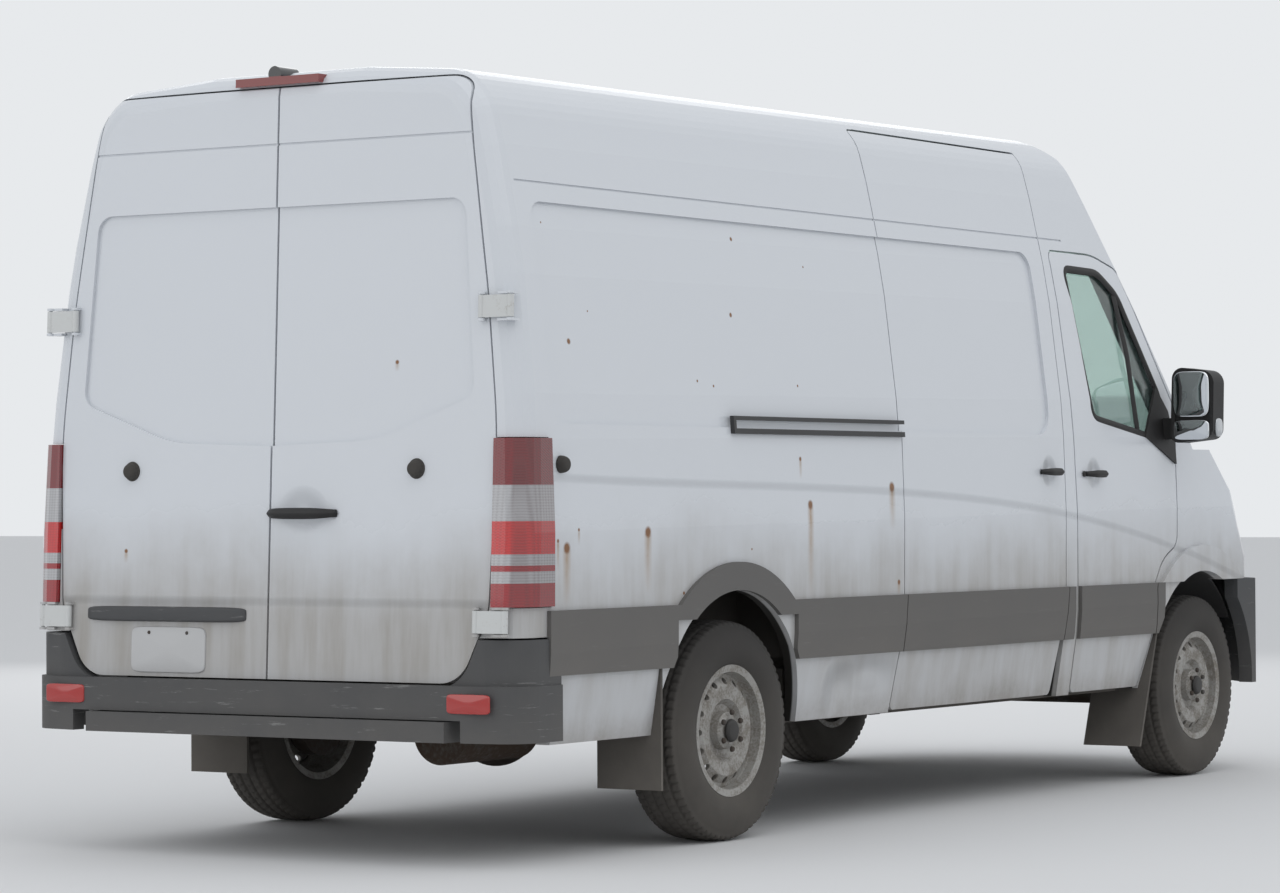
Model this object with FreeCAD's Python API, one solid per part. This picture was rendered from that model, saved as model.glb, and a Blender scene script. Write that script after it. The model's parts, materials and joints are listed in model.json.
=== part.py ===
import FreeCAD, Part
import math
import os

# Long high-roof panel van, assembled from separate panels, doors, axles and wheels.
# Every size is in mm. While modelling, x is counted forward from the rear axle,
# y to the left from the centre line and z up from the ground; the last step moves
# the van so that the middle of its length stands over the origin.

os.makedirs("parts", exist_ok=True)
V = FreeCAD.Vector

# overall proportions
WHEELBASE = 3665.0        # known distance between the axles
NOSE_X = 4652.68          # front face of the front bumper
TAIL_X = -1345.0          # rear edge of the step
MID_X = (NOSE_X + TAIL_X) / 2.0
SILL_Z = 380.0            # lower edge of the side panels
ROOF_SEAM_Z = 2500.0      # joint between the side panels and the roof
WALL = 50.0               # thickness of a whole panel, skin to lining
SHUT = 6.0                # visible gap round a door or lid
SHUT_WIDE = 8.0           # gap where an edge swings across its neighbour

# tyre, rim and axle
TYRE_R = 372.0
AXLE_Z = TYRE_R
WHEEL_Y = 868.0           # middle plane of a tyre
RIM_R = 203.0
HUB_R = 30.0
HUB_END = 940.0            # y where the hubs end, inside the wheels' caps
RUN_CLEAR = 0.05          # radial clearance of a wheel on its stub
KINGPIN_Y = 790.0
ARCH_R = 455.0
ARCH_Z = 390.0
VENT_COUNT = 16

# rub strip and lower body
BAND_LOW, BAND_TOP = 599.0, 804.0
BAND_PROUD = 16.0

# rear doors and their two-pin links
TAIL_LEAN = 0.0416        # how far the tail moves forward per mm of height
TAIL_REF = (-1297.0, 400.0)
TAIL_CORNER_R = 85.0
LINK_PILLAR_Y = 942.0
LINK_DOOR_Y = 832.0
LINK_PROUD = 15.0         # pins stand this far outside the skin
HINGE_Z = (1757.0, 772.0)
LINK_HALF_H = 35.0

# front door and bonnet hinges
BONNET_PIN, BONNET_PIN_R = (3963.0, 1331.0), 5.0
DOOR_PIN, DOOR_PIN_R = (3418.0, 982.0), 3.0      # upright pin at the foot of the cab door
DOOR_PIN_Z = (900.0, 1040.0)

nodes = {}


def rounded(points, place):
    """Closed wire through (a, b, r) corners, each rounded with its own radius r."""
    count = len(points)
    ends = []
    for i in range(count):
        ax, ay = points[i - 1][:2]
        bx, by, r = points[i]
        cx, cy = points[(i + 1) % count][:2]
        ua = math.hypot(ax - bx, ay - by)
        uc = math.hypot(cx - bx, cy - by)
        d1 = ((ax - bx) / ua, (ay - by) / ua)
        d2 = ((cx - bx) / uc, (cy - by) / uc)
        half = math.acos(max(-1.0, min(1.0, d1[0] * d2[0] + d1[1] * d2[1]))) / 2.0
        if r <= 0.01 or half > math.pi / 2.0 - 1e-4:
            ends.append(((bx, by), None, (bx, by)))
            continue
        t = r / math.tan(half)
        mx, my = d1[0] + d2[0], d1[1] + d2[1]
        norm = math.hypot(mx, my)
        reach = r / math.sin(half) - r
        ends.append(((bx + d1[0] * t, by + d1[1] * t),
                     (bx + mx / norm * reach, by + my / norm * reach),
                     (bx + d2[0] * t, by + d2[1] * t)))
    edges = []
    for i in range(count):
        start, middle, stop = ends[i]
        if middle is not None:
            edges.append(Part.Arc(place(*start), place(*middle), place(*stop)).toShape())
        after = ends[(i + 1) % count][0]
        if math.hypot(after[0] - stop[0], after[1] - stop[1]) > 1e-6:
            edges.append(Part.LineSegment(place(*stop), place(*after)).toShape())
    return Part.Wire(edges)


def prism(points, plane, low, high, shear=(0.0, 0.0)):
    """Solid swept from an outline drawn in 'XZ', 'YZ' or 'XY' along the third axis."""
    points = [p if len(p) == 3 else (p[0], p[1], 0.0) for p in points]
    if plane == "XZ":
        wire, way = rounded(points, lambda a, b: V(a, low, b)), V(0, high - low, 0)
    elif plane == "YZ":
        wire = rounded(points, lambda a, b: V(low, a, b + shear[1] * low))
        way = V(high - low, 0, shear[1] * (high - low))
    else:
        wire = rounded(points, lambda a, b: V(a + shear[0] * low, b, low))
        way = V(shear[0] * (high - low), 0, high - low)
    return Part.Face(wire).extrude(way)


def inset(points, t):
    """Outline moved inwards by t (outwards when t is negative), radii following."""
    count = len(points)
    area = sum(points[i - 1][0] * points[i][1] - points[i][0] * points[i - 1][1]
               for i in range(count))
    side = 1.0 if area > 0 else -1.0
    moved = []
    for i in range(count):
        a, b = points[i - 1], points[i]
        c = points[(i + 1) % count]
        n = []
        for p, q in ((a, b), (b, c)):
            length = math.hypot(q[0] - p[0], q[1] - p[1])
            n.append((-(q[1] - p[1]) / length * side, (q[0] - p[0]) / length * side))
        dot = 1.0 + n[0][0] * n[1][0] + n[0][1] * n[1][1]
        x = b[0] + t * (n[0][0] + n[1][0]) / dot
        y = b[1] + t * (n[0][1] + n[1][1]) / dot
        cross = (b[0] - a[0]) * (c[1] - b[1]) - (b[1] - a[1]) * (c[0] - b[0])
        r = b[2]
        if r > 0:
            r = max(2.0, r - t) if cross * side > 0 else r + t
        moved.append((x, y, r))
    return moved


def faceted(points, turn=9.0):
    """The rounded outline as short straight runs, each turning by at most turn degrees."""
    out = []
    for i, (bx, by, r) in enumerate(points):
        ax, ay = points[i - 1][:2]
        cx, cy = points[(i + 1) % len(points)][:2]
        a0 = math.atan2(by - ay, bx - ax)
        a1 = math.atan2(cy - by, cx - bx)
        bend = (a1 - a0 + math.pi) % (2.0 * math.pi) - math.pi
        if r <= 0.01 or abs(bend) < 0.02:
            out.append((bx, by, 0.0))
            continue
        t = r * math.tan(abs(bend) / 2.0)
        x, y = bx - t * math.cos(a0), by - t * math.sin(a0)
        steps = max(1, int(math.ceil(abs(math.degrees(bend)) / turn)))
        part = bend / steps
        chord = 2.0 * r * math.sin(abs(part) / 2.0)
        out.append((x, y, 0.0))
        for k in range(steps):
            x += chord * math.cos(a0 + part * (k + 0.5))
            y += chord * math.sin(a0 + part * (k + 0.5))
            out.append((x, y, 0.0))
    return out


def mirrored(half):
    """Closed outline from one half drawn at positive second or first coordinate."""
    return half + [(-a, b, r) for a, b, r in reversed(half) if abs(a) > 1e-6]


def mirrored_y(half):
    """The same for plan outlines, whose second coordinate is y."""
    return half + [(a, -b, r) for a, b, r in reversed(half) if abs(b) > 1e-6]


def box(x0, x1, y0, y1, z0, z1):
    return Part.makeBox(x1 - x0, y1 - y0, z1 - z0, V(x0, y0, z0))


def cyl(r, p, way, length):
    return Part.makeCylinder(r, length, V(*p), V(*way))


def flip(shape):
    """Mirror image across the centre plane."""
    return shape.mirror(V(0, 0, 0), V(0, 1, 0))


def tail_x(z):
    """Rear face of the body at height z."""
    return TAIL_REF[0] + TAIL_LEAN * (z - TAIL_REF[1])


def add(name, shape):
    nodes[name] = shape


# ---- outer form: section, side and plan outlines that are intersected ----
RISE = 0.012              # the section climbs slightly towards the cab
SECTION = faceted(mirrored([      # (y, z, corner radius)
    (0.0, 60.0, 0.0), (893.0, 60.0, 0.0), (986.0, 640.0, 600.0), (991.0, 1210.0, 3500.0),
    (955.0, 1690.0, 3800.0), (872.0, 2160.0, 3000.0), (799.0, 2430.0, 180.0),
    (705.0, 2535.0, 170.0), (0.0, 2590.0, 4000.0)]))
SIDE = [                  # (x, z, corner radius)
    (-1500.0, SILL_Z, 0.0), (-1500.0, 2680.0, 0.0),
    (0.0, 2680.0, 0.0), (2330.0, 2700.0, 500.0), (2800.0, 2515.0, 600.0), (3160.0, 2235.0, 900.0),
    (3945.0, 1345.0, 40.0), (4430.0, 1215.0, 150.0), (4600.0, 820.0, 200.0), (4610.0, SILL_Z, 0.0)]
CORNER_STEPS = 5          # rings of the rounded edge round the tail
NOSE = mirrored_y([       # (x, y, corner radius) seen from above
    (-1500.0, 0.0, 0.0), (-1500.0, 1100.0, 0.0), (3850.0, 1040.0, 300.0), (4150.0, 975.0, 260.0),
    (4330.0, 800.0, 200.0), (4570.0, 420.0, 900.0), (4607.0, 0.0, 600.0)])
NOSE_LEANS = ((900.0, -0.5), (1060.0, -1.2))   # height where the nose starts to lean back, x per z
SCREEN_BASE = 1345.0
SCREEN_RAKE = -785.0 / 890.0
SCREEN = mirrored_y([     # plan of the windscreen at its base
    (-1500.0, 0.0, 0.0), (-1500.0, 1100.0, 0.0), (3400.0, 1100.0, 0.0), (3640.0, 965.0, 120.0),
    (3835.0, 780.0, 150.0), (3905.0, 400.0, 1500.0), (3925.0, 0.0, 1500.0)])


def ring(t, x):
    """Section outline at station x, moved inwards by t, leaning with the tail."""
    return rounded(inset(SECTION, t), lambda a, b: V(x + TAIL_LEAN * (b - TAIL_REF[1]), a, b + RISE * x))


def body(t, drop=0.0, corner=True):
    """The whole van form with every face moved inwards by t, open below by drop."""
    start = TAIL_REF[0] + (TAIL_CORNER_R if corner else t)
    form = Part.Face(ring(t, start)).extrude(V(4900.0 - start, 0, RISE * (4900.0 - start)))
    if corner:
        r = TAIL_CORNER_R - t
        rings = []
        for i in range(CORNER_STEPS + 1):
            turn = math.pi / 2.0 * i / CORNER_STEPS
            rings.append(ring(t + r * (1.0 - math.cos(turn)),
                              TAIL_REF[0] + t + r * (1.0 - math.sin(turn))))
        form = form.fuse(Part.makeLoft(rings, True, True))
    side = inset(SIDE, t)
    side = [(a, SILL_Z - drop if b < SILL_Z + 300.0 else b, r) for a, b, r in side]
    form = form.common(prism(side, "XZ", -1200.0, 1200.0))
    form = form.common(prism(inset(NOSE, t), "XY", 50.0, 2900.0))
    for start_z, lean in NOSE_LEANS:
        rise = SCREEN_BASE - start_z
        keep = Part.Face(rounded(inset(NOSE, t), lambda a, b: V(a, b, start_z)))
        keep = keep.extrude(V(lean * (rise + 20.0), 0, rise + 20.0))
        form = form.cut(box(3300.0, 5000.0, -1300.0, 1300.0, start_z, SCREEN_BASE).cut(keep))
    cut = Part.Face(rounded(inset(SCREEN, t), lambda a, b: V(a, b, SCREEN_BASE)))
    cut = cut.extrude(V(SCREEN_RAKE * 1500.0, 0, 1500.0))
    return form.cut(box(2350.0, 5000.0, -1300.0, 1300.0, SCREEN_BASE, 2845.0).cut(cut))


outer = body(0.0)
inner = body(WALL, drop=300.0, corner=False)
shell = outer.cut(inner)
skin12 = outer.cut(body(12.0, drop=100.0))
print("form", outer.isValid(), inner.isValid(), shell.isValid(), len(shell.Faces))

# ---- outlines of doors, lids and seams (x, z, radius) ----
SLIDE_REAR, SLIDE_FRONT = 1163.0, 2440.0
SLIDING_DOOR = [(1118.0, 388.0, 25.0), (1163.0, 800.0, 60.0), (SLIDE_REAR, 2492.0, 15.0),
                (SLIDE_FRONT, 2492.0, 15.0), (SLIDE_FRONT, 790.0, 60.0), (2378.0, 388.0, 25.0)]
FRONT_DOOR = [(2556.0, 388.0, 30.0), (2545.0, 1050.0, 300.0), (2508.0, 2112.0, 30.0),
              (2880.0, 2112.0, 500.0), (3075.0, 2062.0, 90.0), (3455.0, 1500.0, 80.0),
              (3437.0, 1320.0, 40.0), (3437.0, 960.0, 60.0), (3300.0, 900.0, 200.0),
              (3222.0, 790.0, 40.0), (3232.0, 600.0, 60.0), (3150.0, 388.0, 25.0)]
WINDOW = [(2612.0, 2050.0, 45.0), (2905.0, 2045.0, 140.0), (3050.0, 1962.0, 80.0),
          (3335.0, 1545.0, 40.0), (3360.0, 1372.0, 35.0), (2715.0, 1462.0, 90.0)]
REAR_DOOR = [             # (y, z, radius), left leaf
    (SHUT_WIDE / 2, 578.0, 0.0), (765.0, 578.0, 120.0), (868.0, 800.0, 200.0), (889.0, 1350.0, 2000.0),
    (842.0, 1806.0, 2000.0), (738.0, 2494.0, 70.0), (SHUT_WIDE / 2, 2494.0, 0.0)]
BONNET_SIDE = 797.0
PILLAR_X = -1120.0        # seam between the corner pillars and the side panels


def door_prism(outline, side, gap):
    grown = inset(outline, -gap) if gap else outline
    lo, hi = (0.0, 1300.0) if side > 0 else (-1300.0, 0.0)
    return prism(grown, "XZ", lo, hi)


def step_door(outline, side, lip=20.0, back=13.0):
    """Door leaf: full outline in the outer skin, smaller behind its edge flange."""
    flange = outer.cut(body(lip, drop=200.0)).common(door_prism(outline, side, 0.0))
    core = shell.common(door_prism(inset(outline, back), side, 0.0))
    return flange.fuse(core).removeSplitter()


rest = shell
# windscreen: cut an opening in the cab front and lay a thin pane into it
SCREEN_HOLE = mirrored([(0.0, 1385.0, 0.0), (770.0, 1385.0, 70.0), (712.0, 2195.0, 90.0),
                        (0.0, 2222.0, 1500.0)])
screen_cut = prism(SCREEN_HOLE, "YZ", 2900.0, 3990.0)
pane = body(4.0, drop=200.0, corner=False).cut(body(16.0, drop=300.0, corner=False))
add("windscreen", pane.common(screen_cut))
rest = rest.cut(screen_cut)

RECESS = [(-1067.0, 1392.0, 60.0), (-1067.0, 2098.0, 70.0), (2330.0, 2098.0, 70.0),
          (2330.0, 1392.0, 90.0)]
recess = skin12.common(prism(RECESS, "XZ", -1200.0, 1200.0))
groove = outer.cut(body(5.0, drop=100.0)).common(box(PILLAR_X - 3.0, 2640.0, -1200, 1200, 2157, 2164))

# right side door (slides) and the two front doors
leaf = step_door(SLIDING_DOOR, -1).cut(recess).cut(groove)
add("sliding_door", leaf)
rest = rest.cut(door_prism(SLIDING_DOOR, -1, SHUT))
for side, word in ((1, "left"), (-1, "right")):
    leaf = step_door(FRONT_DOOR, side)
    hole = door_prism(WINDOW, side, 0.0)
    leaf = leaf.cut(hole).cut(cyl(DOOR_PIN_R + 0.3, (DOOR_PIN[0], side * DOOR_PIN[1], DOOR_PIN_Z[0]),
                                  (0, 0, 1), DOOR_PIN_Z[1] + 5.0 - DOOR_PIN_Z[0]))
    add("door_front_" + word, leaf)
    glass = body(14.0, drop=200.0, corner=False).cut(body(22.0, drop=300.0, corner=False))
    glass = glass.common(door_prism(WINDOW, side, 0.0))
    add("door_glass_" + word, glass)
    rest = rest.cut(door_prism(FRONT_DOOR, side, SHUT_WIDE))
rest = rest.cut(box(1112.0, 2384.0, -1200, 0, 0, 400)).cut(box(2548.0, 3160.0, -1200, 1200, 0, 400))

# rear doors
rear_cut = prism(REAR_DOOR, "YZ", -1420.0, -1130.0)
leaf = shell.common(rear_cut)
REAR_RECESS = mirrored([(0.0, 1330.0, 0.0), (420.0, 1345.0, 500.0), (800.0, 1480.0, 60.0),
                        (752.0, 2105.0, 60.0), (0.0, 2105.0, 0.0)])
rear_recess = skin12.common(prism(REAR_RECESS, "YZ", -1420.0, -1100.0))
rear_groove = outer.cut(body(5.0, drop=100.0)).common(
    box(-1420.0, -1100.0, -800.0, 800.0, 2306.0, 2313.0))
leaf = leaf.cut(rear_recess).cut(rear_groove)
rear_gap = prism(inset(REAR_DOOR, -SHUT), "YZ", -1420.0, -1130.0)
rear_gap = rear_gap.fuse(box(-1420.0, -1130.0, -1.0, 30.0, 573.0, 2499.0))
rest = rest.cut(rear_gap).cut(flip(rear_gap))


def link_x(z):
    """Axis of a link pin at height z: it leans with the tail."""
    return tail_x(z) - LINK_PROUD


def lean_box(d0, d1, y0, y1, z0, z1):
    """Block between two depths behind the leaning rear face."""
    a0, a1 = tail_x(0.0) + d0, tail_x(0.0) + d1
    return prism([(a0, y0), (a1, y0), (a1, y1), (a0, y1)], "XY", z0, z1, (TAIL_LEAN, 0.0))


def lean_cyl(r, y, z0, z1):
    way = V(TAIL_LEAN, 0, 1)
    return cyl(r, (link_x(z0), y, z0), way, (z1 - z0) * way.Length)


def lugs(y, root, z):
    """Two ears above and below a link, joined by the pin outside the skin."""
    out = lean_cyl(6.0, y, z - LINK_HALF_H - 11.0, z + LINK_HALF_H + 11.0)
    for z0 in (z + LINK_HALF_H + 3.0, z - LINK_HALF_H - 11.0):
        out = out.fuse(lean_cyl(12.0, y, z0, z0 + 8.0))
        out = out.fuse(lean_box(-LINK_PROUD, 36.0, root, y, z0, z0 + 8.0))
    return out


links = []
for z in HINGE_Z:
    low, high = z - LINK_HALF_H, z + LINK_HALF_H
    leaf = leaf.fuse(lugs(LINK_DOOR_Y, LINK_DOOR_Y - 12.0, z))
    bar = lean_box(-LINK_PROUD - 6.0, -LINK_PROUD + 6.0, LINK_DOOR_Y, LINK_PILLAR_Y, low, high)
    for y in (LINK_DOOR_Y, LINK_PILLAR_Y):
        bar = bar.fuse(lean_cyl(11.0, y, low, high))
    for y in (LINK_DOOR_Y, LINK_PILLAR_Y):
        bar = bar.cut(lean_cyl(6.1, y, low - 1.0, high + 1.0))
    links.append(bar)
add("rear_door_left", leaf)
add("rear_door_right", flip(leaf))
add("hinge_links_left", Part.makeCompound(links))
add("hinge_links_right", flip(nodes["hinge_links_left"]))

# bonnet, lamps and grille out of the nose
BONNET = mirrored([(0.0, 1090.0, 0.0), (560.0, 1100.0, 60.0), (BONNET_SIDE, 1165.0, 40.0),
                   (BONNET_SIDE, 1500.0, 0.0), (0.0, 1500.0, 0.0)])
bonnet_cut = prism(BONNET, "YZ", 3945.0, 4700.0)
bonnet = shell.common(bonnet_cut)
for y in (-800.0, 760.0):      # bores for the two hinge pins on the wings
    bonnet = bonnet.cut(cyl(BONNET_PIN_R + 0.3, (BONNET_PIN[0], y, BONNET_PIN[1]), (0, 1, 0), 40.0))
add("bonnet", bonnet)
rest = rest.cut(prism(inset(BONNET, -SHUT), "YZ", 3945.0 - 10.0, 4700.0))
LAMP = [(575.0, 856.0, 30.0), (960.0, 900.0, 60.0), (1010.0, 1150.0, 0.0), (812.0, 1158.0, 20.0),
        (620.0, 1088.0, 50.0)]
lamp_cut = prism(LAMP, "YZ", 4030.0, 4700.0)
both = lamp_cut.fuse(flip(lamp_cut))
add("headlamps", rest.common(both))
rest = rest.cut(both)
GRILLE = mirrored([(0.0, 806.0, 0.0), (520.0, 806.0, 30.0), (566.0, 1080.0, 30.0), (0.0, 1068.0, 0.0)])
grille_cut = prism(GRILLE, "YZ", 4300.0, 4700.0)
grille = outer.cut(body(30.0, drop=200.0)).common(grille_cut)
SLOT_ROWS = (868.0, 918.0, 968.0, 1018.0)
for z in SLOT_ROWS:
    for y0, y1 in ((-490.0, -260.0), (-240.0, -10.0), (10.0, 240.0), (260.0, 490.0)):
        grille = grille.cut(box(4300.0, 4700.0, y0, y1, z, z + 28.0))
add("grille", grille)
rest = rest.cut(grille_cut)
print("nose done")

# wheel arches through the side panels
for ax in (0.0, WHEELBASE):
    rest = rest.cut(cyl(ARCH_R, (ax, -1300.0, ARCH_Z), (0, 1, 0), 2600.0))
    rest = rest.cut(box(ax - ARCH_R, ax + ARCH_R, -1300.0, 1300.0, 0.0, ARCH_Z))


def zone(x0, x1, y0, y1, z0, z1):
    return rest.common(box(x0, x1, y0, y1, z0, z1))


# proud trim: rub strips, arch flares and the rail of the sliding door
proud = body(-BAND_PROUD, drop=100.0).cut(outer)
belt = proud.common(box(-1129.0, 3300.0, -1200, 1200, BAND_LOW, BAND_TOP))
flare = proud.common(cyl(ARCH_R + 105.0, (0, -1200, ARCH_Z - 10.0), (0, 1, 0), 2400.0))
flare = flare.common(box(-700, 700, -1200, 1200, BAND_TOP, 1200))
hole = cyl(ARCH_R, (0, -1300.0, ARCH_Z), (0, 1, 0), 2600.0)
strips = belt.cut(hole).fuse(flare.cut(hole))
ahead = belt.common(box(3000.0, 3300.0, -1200, 1200, 0, 1000)).cut(
    cyl(ARCH_R, (WHEELBASE, -1300.0, ARCH_Z), (0, 1, 0), 2600.0))
for ax in (0.0, WHEELBASE):
    strips = strips.cut(box(ax - ARCH_R + 70, ax + ARCH_R - 70, -1300, 1300, 0, BAND_TOP - 50))
left, right = box(-1400, 5000, 0, 1300, 0, 2800), box(-1400, 5000, -1300, 0, 0, 2800)
strips = strips.common(box(-1400, 2500, -1300, 1300, 0, 2000)).fuse(ahead)
add("rub_strip_left", strips.common(left).cut(door_prism(FRONT_DOOR, 1, SHUT_WIDE)))
add("rub_strip_right", strips.common(right).cut(
    door_prism(FRONT_DOOR, -1, SHUT_WIDE)).cut(door_prism(SLIDING_DOOR, -1, SHUT)))
add("rub_strip_slide", belt.common(door_prism(SLIDING_DOOR, -1, 0.0)))
for side, word in ((1, "left"), (-1, "right")):
    add("rub_strip_door_" + word, belt.common(door_prism(FRONT_DOOR, side, 0.0)))
RAIL = (-14.0, 1157.0, 1371.0, 1431.0)   # x0, x1, z0, z1
rail = proud.common(box(RAIL[0], RAIL[1], -1200, 0, RAIL[2], RAIL[3]))
add("slide_rail", rail.cut(box(RAIL[0] + 15, RAIL[1] + 9, -1200, -970, RAIL[2] + 18, RAIL[3] - 14)))
front_flare = proud.common(cyl(ARCH_R + 118.0, (WHEELBASE, -1200, ARCH_Z - 10.0), (0, 1, 0), 2400.0))
front_flare = front_flare.common(box(3000, 4300, -1200, 1200, BAND_TOP, 1200)).cut(
    cyl(ARCH_R, (WHEELBASE, -1300.0, ARCH_Z), (0, 1, 0), 2600.0))

# tail lamps, set into the corner pillars
LAMP_Z = (818.0, 1345.0)
lamp_zone = box(-1400, -1108, 887, 1200, LAMP_Z[0], LAMP_Z[1])
lamp = body(-16.0, drop=100.0).common(lamp_zone).cut(body(40.0, drop=100.0))
add("tail_lamps", Part.makeCompound([lamp, flip(lamp)]))
print("trim done")


def zone(x0, x1, y0, y1, z0, z1):
    return rest.common(box(x0, x1, y0, y1, z0, z1))


# remaining shell: roof, header, corner pillars, side panels, cab frame, wings
add("rear_header", zone(-1500, PILLAR_X, -1200, 1200, ROOF_SEAM_Z, 2800))
add("roof_panel", zone(PILLAR_X, 2443, -1200, 1200, ROOF_SEAM_Z, 2800))
pillar = zone(-1500, PILLAR_X, 0, 1200, 722, ROOF_SEAM_Z).cut(
    box(-1400, -1108, 884, 1200, LAMP_Z[0] - 3, LAMP_Z[1] + 3))
for z in HINGE_Z:
    pillar = pillar.fuse(lugs(LINK_PILLAR_Y, LINK_PILLAR_Y - 50.0, z))
add("rear_pillar_left", pillar)
add("rear_pillar_right", flip(pillar))
corner_gap = box(-1500, -1060, -1200, 1200, 0, 722).fuse(
    box(-1500, -1105, -1200, 1200, LAMP_Z[0] - 3, LAMP_Z[1] + 3))
WING_FRONT_LOW = 806.0
for side, word in ((1, "left"), (-1, "right")):
    y0, y1 = (0.0, 1200.0) if side > 0 else (-1200.0, 0.0)
    end = 2443.0 if side > 0 else SLIDE_REAR + 40.0
    panel = zone(PILLAR_X, end, y0, y1, BAND_TOP, ROOF_SEAM_Z).cut(recess).cut(groove)
    add("side_panel_" + word, panel.cut(corner_gap))
    add("lower_panel_" + word, zone(PILLAR_X, end, y0, y1, 0.0, BAND_TOP).cut(corner_gap))
    w0, w1 = (575.0, 1200.0) if side > 0 else (-1200.0, -575.0)
    wing = zone(3145.0, 4800.0, w0, w1, 0.0, SCREEN_BASE + 5.0)
    wing = wing.cut(box(3700, 4900, -1300, 1300, 0, WING_FRONT_LOW))
    wing = wing.fuse(front_flare.common(box(3000, 4400, w0, w1, 700, 1200)).cut(
        box(3700, 4900, -1300, 1300, 0, WING_FRONT_LOW)).cut(door_prism(FRONT_DOOR, side, SHUT_WIDE)))
    wing = wing.fuse(cyl(BONNET_PIN_R, (BONNET_PIN[0], side * 800.0 - 30.0, BONNET_PIN[1]), (0, 1, 0), 60.0))
    wing = wing.fuse(cyl(DOOR_PIN_R, (DOOR_PIN[0], side * DOOR_PIN[1], DOOR_PIN_Z[0]),
                         (0, 0, 1), DOOR_PIN_Z[1] - DOOR_PIN_Z[0]))
    add("wing_" + word, wing)
cab = zone(2443, 3945, -1200, 1200, 0, 2800)
cab = cab.cut(box(3145.0, 5000.0, 575.0, 1300, 0.0, SCREEN_BASE + 5.0)).cut(
    box(3145.0, 5000.0, -1300, -575.0, 0.0, SCREEN_BASE + 5.0)).cut(groove)
add("cab_frame", cab)
print("panels done")

# bumpers and step
BUMPER_TOP, BUMPER_LOW = 805.7, 365.0
bumper = prism(inset(NOSE, -48.0), "XY", BUMPER_LOW, BUMPER_TOP).cut(
    prism(inset(NOSE, 12.0), "XY", BUMPER_LOW - 1, BUMPER_TOP + 1).common(box(0, 5000, -942, 942, 0, 900)))
bumper = bumper.common(box(3860, 4900, -1300, 1300, 0, 900)).cut(
    cyl(ARCH_R + 20.0, (WHEELBASE, -1300, ARCH_Z), (0, 1, 0), 2600.0))
bumper = bumper.common(box(4000, 4900, -1001, 1001, 0, 900))
bumper = bumper.cut(box(4400, 4900, -430, 430, 455, 560))
bumper = bumper.cut(prism([(4200, 300), (4900, 300), (4900, 395), (4480, 365)], "XZ", -1300, 1300))
add("front_bumper", bumper)
TAIL_PLAN = mirrored_y([(-1326.0, 0.0, 0.0), (-1324.0, 790.0, 300.0), (-1290.0, 1001.0, 110.0),
                        (-1000.0, 1001.0, 0.0), (-1000.0, 0.0, 0.0)])
STEP_TOP = 460.0
tail_ring = prism(TAIL_PLAN, "XY", STEP_TOP + 4, 572.0).cut(
    prism(inset(TAIL_PLAN, 55.0), "XY", 300, 700))
tail_ring = tail_ring.common(box(-1400, -1063, -1100, 1100, 0, 900))
low_corner = prism(TAIL_PLAN, "XY", 395.0, STEP_TOP + 4).cut(prism(inset(TAIL_PLAN, 55.0), "XY", 300, 700))
low_corner = low_corner.common(box(-1400, -1063, -1100, 1100, 0, 900)).cut(box(-1400, -1000, -790, 790, 0, 900))
UPPER = mirrored_y([(-1301.0, 0.0, 0.0), (-1301.0, 860.0, 60.0), (-1250.0, 996.0, 90.0),
                    (-1000.0, 996.0, 0.0), (-1000.0, 0.0, 0.0)])
upper_corner = prism(UPPER, "XY", 572.0, 716.0).cut(prism(inset(UPPER, 45.0), "XY", 300, 900))
upper_corner = upper_corner.common(box(-1400, -1063, -1100, 1100, 0, 900))
door_room = prism(inset(REAR_DOOR, -14.0), "YZ", -1420.0, -1130.0)
upper_corner = upper_corner.cut(door_room).cut(flip(door_room))
tail_bumper = tail_ring.fuse(low_corner).fuse(upper_corner)
add("rear_bumper", tail_bumper.cut(nodes["rub_strip_left"]).cut(nodes["rub_strip_right"]))
step = box(TAIL_X, -1150.0, -743.0, 716.0, 395.0, STEP_TOP)
step = step.cut(box(TAIL_X + 30, -1149.0, -700.0, 680.0, 380.0, STEP_TOP - 18))
for y in (-421.0, 419.0):
    step = step.fuse(box(-1240.0, -1180.0, y - 30, y + 30, STEP_TOP - 18, 545.0))
add("rear_step", step)
brake = lean_box(-14.0, 60.0, -170.0, 170.0, 2503.0, 2530.0).cut(outer)
pod = cyl(26.0, (-1215.0, 15.0, 2540.0), (1, 0, 0), 100.0).cut(outer)
add("brake_lamp", brake.fuse(pod))

# frame under the floor
RAIL_Y, FLOOR_Z, FLOOR_T = 420.0, 690.0, 45.0
frame = []
for y in (-RAIL_Y, RAIL_Y):
    frame.append(box(-1225.0, 3480.0, y - 38, y + 38, 545.0, FLOOR_Z - FLOOR_T))
    frame.append(box(3480.0, 4500.0, y - 38, y + 38, 545.0, 645.0))
for x in (-1180.0, -560.0, 620.0, 1500.0, 2400.0, 3120.0, 4420.0):
    frame.append(box(x, x + 70.0, -RAIL_Y + 38, RAIL_Y - 38, 560.0, 640.0))
for x in (620.0, 1500.0, 2400.0):
    for y0, y1 in ((RAIL_Y + 38, 820.0), (-820.0, -RAIL_Y - 38)):
        frame.append(box(x, x + 70.0, y0, y1, 480.0, 560.0).fuse(
            box(x, x + 70.0, min(y0, y1), max(y0, y1), 560.0, 640.0)))
for y0, y1 in ((815.0, 884.0), (-884.0, -815.0)):
    frame.append(box(470.0, 3080.0, y0, y1, 372.0, 560.0))
chassis = frame[0]
for piece in frame[1:]:
    chassis = chassis.fuse(piece)
add("chassis_rails", chassis)
WHEEL_BOX = (-478.0, 478.0, 690.0, 905.0)   # x0, x1, inner y, top z
inside = inner
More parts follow.
